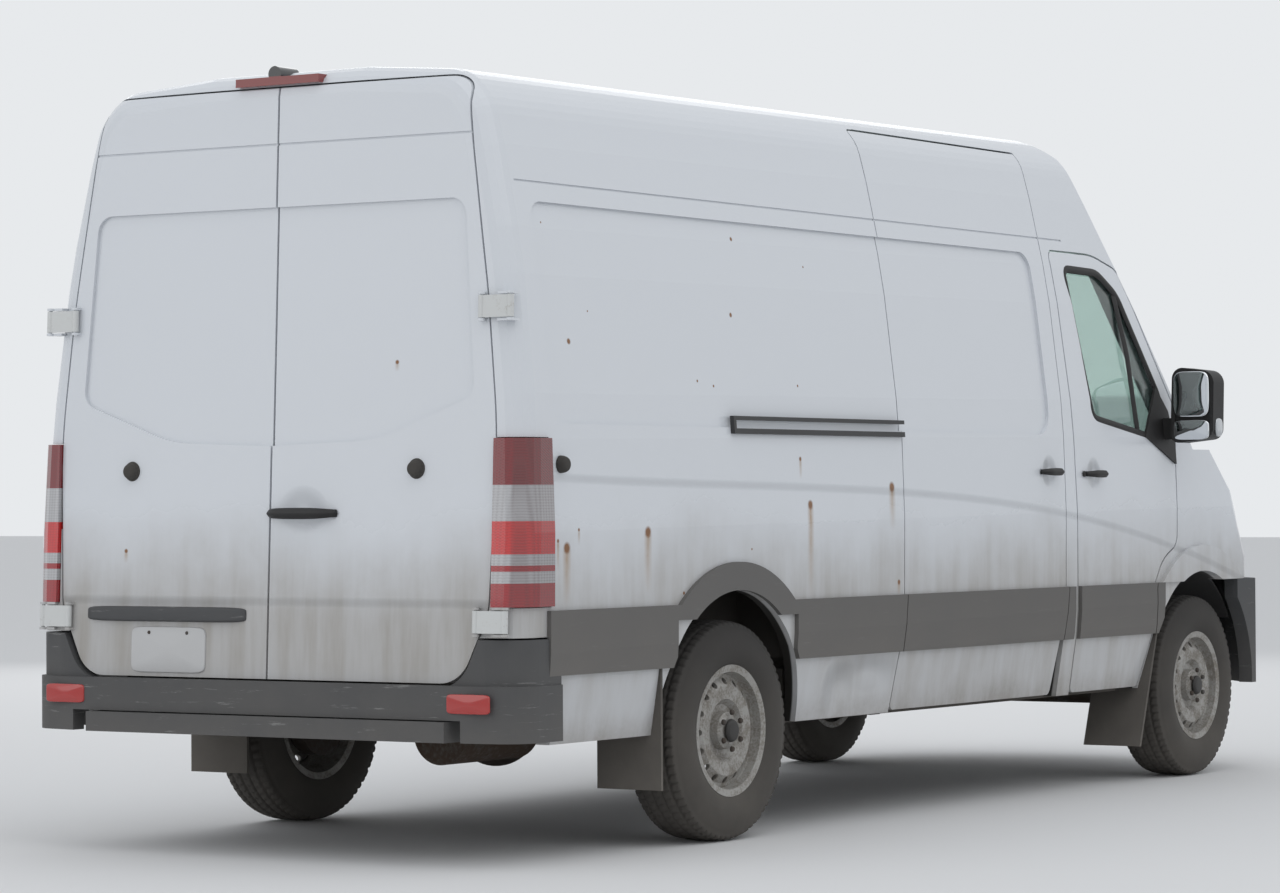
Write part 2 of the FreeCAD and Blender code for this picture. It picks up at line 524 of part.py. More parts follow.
floor = box(-1230.0, 2440.0, -1100, 1100, FLOOR_Z - FLOOR_T, FLOOR_Z).common(inside)
for side in (1, -1):
    y0, y1 = (WHEEL_BOX[2], 1200.0) if side > 0 else (-1200.0, -WHEEL_BOX[2])
    floor = floor.cut(box(WHEEL_BOX[0], WHEEL_BOX[1], y0, y1, 0, 1000))
add("load_floor", floor.cut(nodes["rear_bumper"]))
boxes = []
for side in (1, -1):
    y0, y1 = (WHEEL_BOX[2], 1200.0) if side > 0 else (-1200.0, -WHEEL_BOX[2])
    i0, i1 = (y0 + 15, y1) if side > 0 else (y0, y1 - 15)
    whole = box(WHEEL_BOX[0], WHEEL_BOX[1], y0, y1, 600.0, WHEEL_BOX[3])
    hollow = box(WHEEL_BOX[0] + 15, WHEEL_BOX[1] - 15, i0, i1, 500.0, WHEEL_BOX[3] - 15)
    boxes.append(whole.cut(hollow).common(inside))
add("wheel_boxes", Part.makeCompound(boxes))
CAB_Z = FLOOR_Z - FLOOR_T
cab_floor = box(2440.0, 3165.0, -1100, 1100, CAB_Z, CAB_Z + 30)
cab_floor = cab_floor.fuse(box(3135.0, 3165.0, -1100, 1100, CAB_Z, 910.0))
cab_floor = cab_floor.fuse(box(3135.0, 3500.0, -1100, 1100, 880.0, 910.0))
cab_floor = cab_floor.fuse(box(3470.0, 3500.0, -1100, 1100, 880.0, 1300.0))
cab_floor = cab_floor.common(body(WALL + 12.0, drop=300.0, corner=False))
add("cab_floor", cab_floor)

# engine, axles and springs
add("engine_block", box(3620.0, 4180.0, -290.0, 290.0, 660.0, 1090.0).fuse(
    box(3800.0, 4050.0, -180.0, 180.0, 420.0, 660.0)).fuse(
    box(3840.0, 3930.0, -380.0, 380.0, 645.3, 680.0)).fuse(
    box(3840.0, 3930.0, -RAIL_Y, RAIL_Y, 645.3, 670.0)))
axle = cyl(45.0, (0, -820.0, AXLE_Z), (0, 1, 0), 1640.0)
axle = axle.fuse(Part.makeSphere(150.0, V(0, 0, AXLE_Z)))
for y0 in (-HUB_END, 820.0):
    axle = axle.fuse(cyl(HUB_R, (0, y0, AXLE_Z), (0, 1, 0), HUB_END - 820.0))
axle = axle.fuse(cyl(135.0, (0, 760.0, AXLE_Z), (0, 1, 0), 60.0)).fuse(
    cyl(135.0, (0, -820.0, AXLE_Z), (0, 1, 0), 60.0))
axle = axle.fuse(cyl(38.0, (0, 0, AXLE_Z), (1, 0, 0.055), 2700.0))
LEAF = [(-700.0, 560.0), (-640.0, 500.0), (-60.0, 417.0), (60.0, 417.0), (619.7, 497.0),
        (619.7, 537.0), (60.0, 452.0), (-60.0, 452.0), (-640.0, 535.0), (-700.0, 590.0)]
for y0 in (-590.0, 520.0):
    axle = axle.fuse(prism(LEAF, "XZ", y0, y0 + 70.0)).fuse(
        box(-60, 60, y0, y0 + 70, AXLE_Z - 50, 430))
add("rear_axle", axle)
beam = box(WHEELBASE - 60, WHEELBASE + 60, -640.0, 640.0, 290.0, 350.0)
for side in (1, -1):
    def part_y(y0, y1):
        return (min(side * y0, side * y1), max(side * y0, side * y1))
    a, b = part_y(600.0, 812.0)
    beam = beam.fuse(box(WHEELBASE - 30, WHEELBASE + 30, a, b, 212.0, 238.0))
    a, b = part_y(560.0, 640.0)
    beam = beam.fuse(box(WHEELBASE - 40, WHEELBASE + 40, a, b, 212.0, 545.0))
    beam = beam.fuse(cyl(55.0, (WHEELBASE, side * 612.0, 520.0), (0, 0, 1), 335.0))
    a, b = part_y(600.0, 812.0)
    beam = beam.fuse(box(WHEELBASE - 26, WHEELBASE + 26, a, b, 508.0, 532.0))
    a, b = part_y(380.0, 600.0)
    beam = beam.fuse(box(WHEELBASE - 40, WHEELBASE + 40, a, b, 520.0, 545.0))
add("front_axle", beam)


def knuckle():
    """Upright on the kingpin line with the stub that carries the wheel."""
    up = cyl(28.0, (WHEELBASE, KINGPIN_Y, 238.3), (0, 0, 1), 269.4)
    up = up.fuse(cyl(55.0, (WHEELBASE, KINGPIN_Y - 20, AXLE_Z), (0, 1, 0), 60.0))
    up = up.fuse(cyl(128.0, (WHEELBASE, KINGPIN_Y + 30, AXLE_Z), (0, 1, 0), 26.0))
    return up.fuse(cyl(HUB_R, (WHEELBASE, KINGPIN_Y + 20, AXLE_Z), (0, 1, 0), HUB_END - KINGPIN_Y - 20))


add("knuckle_left", knuckle())
add("knuckle_right", flip(knuckle()))


def spin(points):
    """Solid of revolution about the axle from (radius, offset) corners."""
    wire = Part.makePolygon([V(0, b, AXLE_Z + a) for a, b in points + points[:1]])
    return Part.Face(wire).revolve(V(0, 0, AXLE_Z), V(0, 1, 0), 360)


TYRE = [(RIM_R + 0.5, -78.0), (224.0, -92.0), (262.0, -108.0), (300.0, -112.5), (340.0, -106.0),
        (362.0, -90.0), (370.0, -70.0), (TYRE_R, 0.0), (370.0, 70.0), (362.0, 90.0), (340.0, 106.0),
        (300.0, 112.5), (262.0, 108.0), (224.0, 92.0), (RIM_R + 0.5, 78.0)]
DISC = [(HUB_R + RUN_CLEAR, 40.0), (95.0, 40.0), (112.0, 62.0), (150.0, 66.0), (176.0, 50.0), (190.0, 50.0),
        (190.0, 60.0), (178.0, 62.0), (152.0, 80.0), (106.0, 76.0), (88.0, 54.0), (HUB_R + RUN_CLEAR, 54.0)]
BARREL = [(198.0, -93.0), (222.0, -98.0), (222.0, -92.0), (RIM_R, -84.0), (RIM_R, -60.0), (190.0, -20.0),
          (190.0, 40.0), (RIM_R, 66.0), (RIM_R, 84.0), (222.0, 92.0), (222.0, 98.0), (198.0, 93.0),
          (194.0, 66.0), (182.0, 40.0), (182.0, -22.0), (194.0, -62.0)]
CAP = [(0.1, 76.0), (0.1, 92.0), (46.0, 90.0), (62.0, 80.0), (66.0, 54.0), (60.0, 54.0), (56.0, 74.0),
       (42.0, 76.0)]


def rim():
    """Steel wheel: barrel, dished disc with a ring of vents and a plain hub cap."""
    out = spin(BARREL).fuse(spin(DISC))
    for k in range(VENT_COUNT):
        turn = 2.0 * math.pi * k / VENT_COUNT
        x, z = 166.0 * math.sin(turn), AXLE_Z + 166.0 * math.cos(turn)
        out = out.cut(cyl(11.5, (x, 20.0, z), (0, 1, 0), 90.0))
    return out.fuse(spin(CAP))


one_rim, one_tyre = rim(), spin(TYRE)
for word, x, side in (("front_left", WHEELBASE, 1), ("front_right", WHEELBASE, -1),
                      ("rear_left", 0.0, 1), ("rear_right", 0.0, -1)):
    for kind, solid in (("rim_", one_rim), ("tyre_", one_tyre)):
        placed = solid.copy() if side > 0 else flip(solid)
        placed.translate(V(x, side * WHEEL_Y, 0))
        add(kind + word, placed)
print("wheels done")

# mirrors, cab furniture, small underside pieces
mirror = prism([(1030.0, 1365.0, 35.0), (1218.0, 1385.0, 45.0), (1224.0, 1655.0, 55.0), (1040.0, 1678.0, 45.0)],
               "YZ", 3295.0, 3395.0)
mirror = mirror.cut(prism([(1048.0, 1383.0, 25.0), (1204.0, 1400.0, 30.0), (1208.0, 1640.0, 40.0),
                           (1054.0, 1660.0, 30.0)], "YZ", 3290.0, 3306.0))
arm = box(3330.0, 3385.0, 945.0, 1032.0, 1385.0, 1470.0).fuse(box(3300.0, 3400.0, 935.0, 975.0, 1372.0, 1480.0))
mirror = mirror.fuse(arm.cut(nodes["door_front_left"]).cut(nodes["door_glass_left"]).cut(body(16.0, drop=200.0, corner=False)))
add("mirror_left", mirror)
add("mirror_right", flip(mirror))
seats = []
for y0, y1 in ((200.0, 700.0), (-700.0, 130.0)):
    base = box(2580.0, 2985.0, y0, y1, CAB_Z + 30.0, 1040.0)
    back = prism([(2560.0, 1000.0, 30.0), (2680.0, 1000.0, 10.0), (2590.0, 1600.0, 40.0),
                  (2500.0, 1600.0, 40.0)], "XZ", y0, y1)
    seat = base.fuse(back)
    heads = ((y0 + y1) / 2,) if y1 - y0 < 600 else (y0 + 210, y1 - 210)
    for yc in heads:
        seat = seat.fuse(prism([(2515.0, 1560.0, 10.0), (2585.0, 1560.0, 10.0), (2560.0, 1790.0, 30.0),
                                (2492.0, 1790.0, 30.0)], "XZ", yc - 130, yc + 130))
    seats.append(seat)
add("seats", Part.makeCompound(seats))
dash = prism([(3190.0, 910.3), (3469.7, 910.3), (3469.7, 1330.0), (3330.0, 1352.0), (3190.0, 1290.0),
              (3130.0, 1180.0)], "XZ", -870.0, 870.0)
dash = dash.common(body(WALL + 14.0, drop=300.0, corner=False))
column = cyl(28.0, (3180.0, 450.0, 1180.0), (-1, 0, 0.45), 190.0)
hoop = Part.makeTorus(195.0, 15.0, V(3010.0, 450.0, 1257.0), V(-1, 0, 0.45))
spokes = cyl(60.0, (3020.0, 450.0, 1252.0), (-1, 0, 0.45), 24.0)
bar = box(-8.0, 8.0, -190.0, 190.0, -14.0, 14.0)
bar.rotate(V(0, 0, 0), V(0, 1, 0), 24.0)
bar.translate(V(3010.0, 450.0, 1257.0))
add("dashboard", dash.fuse(column).fuse(hoop).fuse(spokes).fuse(bar))
tank = box(1620.0, 2350.0, RAIL_Y + 38.3, 790.0, 330.0, 556.0)
add("fuel_tank", tank)
muffler = cyl(105.0, (-960.0, -450.0, 400.0), (1, 0, 0), 420.0)
add("muffler", muffler.fuse(box(-900.0, -860.0, -470.0, -430.0, 480.0, 545.0)).fuse(
    box(-640.0, -600.0, -470.0, -430.0, 480.0, 545.0)))
flaps = []
for side in (1, -1):
    y0, y1 = (735.0, 985.0) if side > 0 else (-985.0, -735.0)
    flaps.append(prism([(-470.0, 200.0), (-458.0, 200.0), (-458.0, 598.0), (-470.0, 598.0)], "XZ", y0, y1).cut(
        nodes["lower_panel_left"]).cut(nodes["lower_panel_right"]))
    flaps.append(prism([(3085.0, 150.0), (3100.0, 150.0), (3258.0, 598.0), (3243.0, 598.0)], "XZ",
                       y0, y1).cut(nodes["wing_left"]).cut(nodes["wing_right"]))
add("mudflaps", Part.makeCompound(flaps))
liners = []
for side in (1, -1):
    y0 = 520.0 if side > 0 else -930.0
    hoop = cyl(ARCH_R + 17, (WHEELBASE, y0, ARCH_Z), (0, 1, 0), 410.0).cut(
        cyl(ARCH_R + 9, (WHEELBASE, y0 - 1, ARCH_Z), (0, 1, 0), 412.0))
    hoop = hoop.common(box(3100, 4300, -1000, 1000, 640.0, 1000)).cut(nodes["front_axle"])
    liners.append(hoop.cut(nodes["wing_left"]).cut(nodes["wing_right"]))
add("arch_liners", Part.makeCompound(liners))
print("built")

for name in sorted(nodes):
    shape = nodes[name].copy()
    shape.translate(V(-MID_X, 0, 0))
    if len(shape.Solids) == 1:
        shape = shape.Solids[0]
    shape.exportStep("parts/" + name + ".step")
print(len(nodes), "nodes")
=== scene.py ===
# %% [markdown]
# # A long, high-roof panel van
# The van's panels, doors, axles and wheels come packed from CAD as a fixed frame. This lesson dresses
# that frame: it gives every panel its finish, and adds what is too small or too soft-edged for the CAD,
# such as tyre tread, door handles, window seals, wipers and lamps. Everything is in metres, +X forward,
# +Y to the van's left and +Z up, with the origin on the ground under the middle of the van.

import json
import math

import bmesh
import bpy
import numpy as np
from mathutils import Matrix, Vector


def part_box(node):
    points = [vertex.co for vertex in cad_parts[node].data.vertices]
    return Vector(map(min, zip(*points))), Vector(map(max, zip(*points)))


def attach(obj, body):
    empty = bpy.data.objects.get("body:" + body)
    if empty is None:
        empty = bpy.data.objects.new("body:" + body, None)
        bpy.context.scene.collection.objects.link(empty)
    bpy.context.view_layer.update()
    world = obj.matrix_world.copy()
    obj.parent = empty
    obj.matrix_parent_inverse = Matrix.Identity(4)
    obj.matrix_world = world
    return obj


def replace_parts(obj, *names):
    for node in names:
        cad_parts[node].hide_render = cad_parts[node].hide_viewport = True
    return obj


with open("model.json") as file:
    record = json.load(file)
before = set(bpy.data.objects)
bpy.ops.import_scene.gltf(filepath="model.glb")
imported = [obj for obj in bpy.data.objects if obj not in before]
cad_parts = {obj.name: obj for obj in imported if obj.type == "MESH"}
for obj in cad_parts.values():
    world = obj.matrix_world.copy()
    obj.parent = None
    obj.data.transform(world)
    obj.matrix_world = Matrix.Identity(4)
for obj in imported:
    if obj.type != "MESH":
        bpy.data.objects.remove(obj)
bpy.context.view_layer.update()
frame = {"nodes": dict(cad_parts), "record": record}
nodes = frame["nodes"]

# %% [markdown]
# The CAD source counts x from the rear axle, because the wheelbase is the one size known for sure.
# The lesson keeps those numbers and moves them to the van's own origin in one place, the function at().

# %% Sizes shared with the CAD
REAR_AXLE = -1.65384      # x of the rear axle in the van's frame
WHEELBASE = 3.665
AXLE_Z, RIM_R = 0.372, 0.203
TAIL_X, TAIL_Z, TAIL_LEAN = -1.297, 0.4, 0.0416       # the rear face: x at a height, and its slope
SIDE_Z = [0.06, 0.64, 1.21, 1.69, 2.16, 2.43]         # heights of the section's corners
SIDE_Y = [0.893, 0.986, 0.991, 0.955, 0.872, 0.799]   # half width at those heights
SIDE_RISE = 0.012                                     # how much the corners climb per metre forward
RUB_STRIP_Z = 0.7
ACROSS_BACK, UPWARD = (0, -1, 0), (0, 0, 1)           # the two directions of a piece that faces back


def at(x, y, z):
    """A point counted from the rear axle, as a row of the van's frame; arrays give arrays."""
    return np.stack(np.broadcast_arrays(np.asarray(x, float) + REAR_AXLE, y, z), -1)


def side_y(x, z):
    """Half width of the body at height z: the section's corners joined, lifted a little with x."""
    return np.interp(np.asarray(z) - SIDE_RISE * np.asarray(x), SIDE_Z, SIDE_Y)


def tail_x(z):
    """The leaning rear face, x = start + lean times height."""
    return TAIL_X + TAIL_LEAN * (np.asarray(z) - TAIL_Z)


print("half width at the rub strip", round(float(side_y(0, RUB_STRIP_Z)), 3))

# %% [markdown]
# Small pieces could be modelled by hand or put together from Blender's cubes and cylinders. Here every
# added piece is a grid of points worked out with numpy, a function of two numbers, u along the grid's
# rows and v along its columns, because one formula then holds the whole shape and its sizes.
#
# One helper turns such a grid into a mesh. It can close the grid in either direction. Where the last
# rows or columns shrink to one point, the equal points are merged, so that the pole is closed, and then
# the faces are turned so that they all point outwards.

# %% Grid to mesh
SAME_POINT = 1e-6         # points nearer than this are one point


def grid_piece(name, points, body, finish, close_u=False, close_v=False, smooth=True):
    """Mesh from points[u, v]: each face joins neighbours (i, j), (i+1, j), (i+1, j+1), (i, j+1)."""
    points = np.asarray(points, float)
    nu, nv = points.shape[:2]
    iu = np.arange(nu if close_u else nu - 1)
    iv = np.arange(nv if close_v else nv - 1)
    a, b = np.meshgrid(iu, iv, indexing="ij")
    c, d = (a + 1) % nu, (b + 1) % nv
    faces = np.stack([a * nv + b, c * nv + b, c * nv + d, a * nv + d], -1).reshape(-1, 4)
    mesh = bpy.data.meshes.new(name)
    mesh.from_pydata(points.reshape(-1, 3).tolist(), [], faces.tolist())
    closed = bmesh.new()
    closed.from_mesh(mesh)
    bmesh.ops.remove_doubles(closed, verts=closed.verts, dist=SAME_POINT)
    bmesh.ops.recalc_face_normals(closed, faces=closed.faces)
    closed.to_mesh(mesh)
    closed.free()
    mesh.polygons.foreach_set("use_smooth", np.full(len(mesh.polygons), smooth))
    mesh.materials.append(finish)
    piece = bpy.data.objects.new(name, mesh)
    bpy.context.scene.collection.objects.link(piece)
    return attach(piece, body)


def joined(name, pieces):
    """Several pieces of one body as one object, so that like parts stay together."""
    keep = pieces[0]
    gathered = bmesh.new()
    for p in pieces:
        gathered.from_mesh(p.data)
    mesh = bpy.data.meshes.new(name)
    gathered.to_mesh(mesh)
    gathered.free()
    mesh.polygons.foreach_set("use_smooth", np.ones(len(mesh.polygons), bool))
    mesh.materials.append(keep.data.materials[0])
    keep.data = mesh
    for p in pieces[1:]:
        bpy.data.objects.remove(p)
    keep.name = name
    return keep


print("grid points nearer than", SAME_POINT, "m are merged")

# %% [markdown]
# Many small parts are cushions of one kind: a flat outline with a rounded edge, such as a reflector,
# a rubber buffer, a number plate or a bolt head. A cylinder or a cube with a Bevel modifier could give
# each of them. One surface does for all: its outline is a superellipse, which goes from a circle to a
# rectangle with soft corners as its power grows, and its edge is a quarter turn.

# %% Cushion surface
OUTLINE_STEPS, RISE_STEPS = 48, 9


def cushion(name, centre, across, up, size, depth, body, finish, power=2.0, edge=0.25,
            nu=OUTLINE_STEPS, nv=RISE_STEPS):
    """Outline: |a/A|^p + |b/B|^p = 1. Height: rises as sin over the edge's share of the radius, then
    stays flat. Point = centre + across*a*r + up*b*r + out*depth*h, with out = across x up. The first
    column is the middle of the back, which closes the piece."""
    across, up = np.array(across, float), np.array(up, float)
    across, up = across / np.linalg.norm(across), up / np.linalg.norm(up)
    out = np.cross(across, up)
    u = np.linspace(0, 2 * np.pi, nu, endpoint=False)
    a = np.sign(np.cos(u)) * np.abs(np.cos(u)) ** (2 / power) * size[0] / 2
    b = np.sign(np.sin(u)) * np.abs(np.sin(u)) ** (2 / power) * size[1] / 2
    turn = np.linspace(0, np.pi / 2, nv - 3)
    r = np.concatenate([[0.0, 1.0], 1 - edge * (1 - np.cos(turn)), [0.0]])
    h = np.concatenate([[0.0, 0.0], np.sin(turn), [1.0]])
    ring = a[:, None, None] * across + b[:, None, None] * up
    points = np.array(centre, float) + ring * r[None, :, None] + out * (depth * h)[None, :, None]
    return grid_piece(name, points, body, finish, close_u=True)


print("a cushion has", OUTLINE_STEPS * (RISE_STEPS - 1), "faces")

# %% [markdown]
# Handles, wiper arms and seals are a round or oval profile carried along a path. A Blender curve with
# a bevel would do it too, but its profile can twist. Here the profile is set square to the path at each
# point, with one side kept towards a fixed direction. An open path ends in a pole at both ends.

# %% Profile along a path
PROFILE_SIDES = 14


def swept(name, path, radii, body, finish, keep=(0, 0, 1), sides=PROFILE_SIDES, closed=False,
          power=2.0):
    """Ring at path[i]: side*cos(v)*radii[i,0] + top*sin(v)*radii[i,1]; side = tangent x keep."""
    path = np.asarray(path, float)
    radii = np.broadcast_to(np.asarray(radii, float), (len(path), 2))
    ahead = np.roll(path, -1, 0) - np.roll(path, 1, 0) if closed else np.gradient(path, axis=0)
    ahead /= np.linalg.norm(ahead, axis=1)[:, None]
    side = np.cross(ahead, np.array(keep, float))
    side /= np.linalg.norm(side, axis=1)[:, None]
    top = np.cross(side, ahead)
    v = np.linspace(0, 2 * np.pi, sides, endpoint=False)
    c = np.sign(np.cos(v)) * np.abs(np.cos(v)) ** (2 / power)
    s = np.sign(np.sin(v)) * np.abs(np.sin(v)) ** (2 / power)
    rings = (path[:, None] + side[:, None] * (radii[:, :1] * c)[..., None]
             + top[:, None] * (radii[:, 1:] * s)[..., None])
    if not closed:
        ends = np.repeat(path[[0, -1]][:, None], sides, 1)
        rings = np.concatenate([ends[:1], rings, ends[1:]])
    return grid_piece(name, rings, body, finish, close_u=closed, close_v=True)


print("a profile has", PROFILE_SIDES, "sides")

# %% [markdown]
# A material's nodes could be placed and joined one by one, but then a sum of five terms hides in five
# nodes and their links. Shader maths reads best as plain sums, so a Wire wraps a node's output, and
# each operator on it adds the Math node that does the sum.

# %% Shader maths
class Wire:
    """An output socket that can be used in sums, on either side of a number."""

    def __init__(self, finish, socket):
        self.finish, self.socket = finish, socket

    def math(self, operation, *values):
        return self.finish.add("ShaderNodeMath", {"operation": operation}, values)

    def __add__(self, o):
        return self.math("ADD", self, o)

    __radd__ = __add__

    def __sub__(self, o):
        return self.math("SUBTRACT", self, o)

    def __rsub__(self, o):
        return self.math("SUBTRACT", o, self)

    def __mul__(self, o):
        return self.math("MULTIPLY", self, o)

    __rmul__ = __mul__

    def __truediv__(self, o):
        return self.math("DIVIDE", self, o)

    def __pow__(self, o):
        return self.math("POWER", self, o)

    def __abs__(self):
        return self.math("ABSOLUTE", self)

    def clamp(self):
        """The value held between 0 and 1."""
        return self.finish.add("ShaderNodeMath", {"operation": "ADD", "use_clamp": True}, [self, 0.0])


print("a Wire knows", sum(callable(rule) for rule in vars(Wire).values()), "rules")

# %% [markdown]
# A Finish holds one material. Its add() makes any node: it takes the node's type, its settings, which
# are set first, and the values or links of its sockets. Patterns read Object coordinates. Every piece
# lies at the origin, so these are the van's own metres, and a pattern runs on from piece to piece.

# %% One material
class Finish:
    """One material: a Principled shader whose constants are set on its own sockets."""

    def __init__(self, name, **constants):
        self.material = bpy.data.materials.new(name)
        self.material.use_nodes = True
        self.tree = self.material.node_tree
        self.shader = self.tree.nodes["Principled BSDF"]
        for socket, value in constants.items():
            self.set(socket.replace("_", " "), value)

    def add(self, kind, settings=None, inputs=(), out=0):
        """A new node; out says which of its outputs comes back as a Wire."""
        made = self.tree.nodes.new(kind)
        for key, value in (settings or {}).items():
            if key == "stops":
                ramp = made.color_ramp
                while len(ramp.elements) < len(value):
                    ramp.elements.new(0.5)
                for element, (where, colour) in zip(ramp.elements, value):
                    element.position, element.color = where, (*colour, 1.0)
            elif key == "interpolation":
                made.color_ramp.interpolation = value
            else:
                setattr(made, key, value)
        for key, value in inputs.items() if isinstance(inputs, dict) else enumerate(inputs):
            if isinstance(value, Wire):
                self.tree.links.new(value.socket, made.inputs[key])
            else:
                made.inputs[key].default_value = value
        return Wire(self, made.outputs[out])

    def set(self, socket, value):
        """A link, a colour or a number on one socket of the shader."""
        if isinstance(value, Wire):
            self.tree.links.new(value.socket, self.shader.inputs[socket])
        elif isinstance(value, (tuple, list)) and len(value) == 3:
            self.shader.inputs[socket].default_value = (*value, 1.0)
        else:
            self.shader.inputs[socket].default_value = value

    def place(self):
        """The point on the object, as three values x, y and z in metres."""
        point = self.add("ShaderNodeTexCoord", out="Object")
        return [self.add("ShaderNodeSeparateXYZ", None, [point], out=i) for i in range(3)]

    def noise(self, scale, stretch, detail, rough):
        """Cloudy noise from 0 to 1, finer along an axis whose stretch is larger."""
        point = self.add("ShaderNodeTexCoord", out="Object")
        point = self.add("ShaderNodeMapping", None, {"Vector": point, "Scale": stretch})
        return self.add("ShaderNodeTexNoise", None,
                        {"Vector": point, "Scale": scale, "Detail": detail, "Roughness": rough})

    def mix(self, share, first, second):
        """The first colour where share is 0, the second where it is 1."""
        first, second = [(*c, 1.0) if isinstance(c, tuple) else c for c in (first, second)]
        factor, a, b, colour_out = 0, 6, 7, 2       # a Mix node's sockets when it mixes colours
        return self.add("ShaderNodeMix", {"data_type": "RGBA"}, {factor: share, a: first, b: second},
                        out=colour_out)

    def bump(self, height, strength, distance):
        """A relief of the given depth in metres, times the height's value."""
        self.set("Normal", self.add("ShaderNodeBump", None, {
            "Height": height, "Strength": strength, "Distance": distance}))


print("a Finish knows", [rule for rule in vars(Finish) if not rule.startswith("__")])

# %% [markdown]
# The paint is plain white, and what makes it look real is the road film on it: a brown-grey haze that
# is thick just above the rub strip and thins out towards the waist, broken into vertical streaks where
# rain ran through it. An image could be painted for it, but a pattern that is worked out from height
# and noise runs on from panel to panel and needs no unwrapping.
#
# Rust spots are small discs with a tail below them. Thumb scoops, dents and the crease along the body
# are a Bump, since they are too shallow to show in the outline. Inside the wheel arches and behind the
# front bumper the paint turns dark. This is partly the black underseal of the real van and partly
# painted shade, where the arches and the bumper keep the light off.

# %% Soft steps and discs
def smooth(value):
    """Soft step: 3v^2 - 2v^3 of a value held between 0 and 1."""
    v = value.clamp()
    return v * v * (3.0 - 2.0 * v)


def disc(a, b, a0, b0, ra, rb):
    """1 at the middle of an oval, falling in a straight line to 0 at its edge."""
    return (1.0 - (((a - a0) / ra) ** 2.0 + ((b - b0) / rb) ** 2.0) ** 0.5).clamp()


print("3v^2 - 2v^3 at a quarter:", 3 * 0.25 ** 2 - 2 * 0.25 ** 3)

# %% Body paint with road film, rust and dents
EVEN = (1, 1, 1)                                     # a noise that is stretched along no axis
FRESH_WHITE, CHALKY_WHITE = (0.68, 0.705, 0.74), (0.58, 0.60, 0.62)
ROAD_FILM, SILL_DIRT = (0.30, 0.27, 0.23), (0.20, 0.17, 0.14)
# The darkest colour stands for the real underseal and for painted shade inside the arches and behind the
# bumper.
RUST, RUST_RUN, UNDERSEAL_AND_SHADE = (0.21, 0.085, 0.022), (0.33, 0.19, 0.07), (0.022, 0.020, 0.018)
FILM_TOP, STRIP_FOOT, SILL_TOP = 1.16, 0.64, 0.50    # heights where each zone of dirt ends
TAIL_CREASE, CREASE_WIDTH, CREASE_DEPTH = 0.845, 0.035, 0.10
SKIN = 0.016                                         # the dark of underseal and painted shade starts this deep under the outer face
UNDERSEAL_AND_SHADE_TOP, ARCHES_END = 0.98, 3.86
BUMPER_START, BUMPER_TOP = 4.02, 0.79


def side_crease(a):
    """Height of the crease along the side: it falls forwards as a cubic of the place a."""
    return 1.2157 - 0.0162 * a - 0.0050 * a * a * a


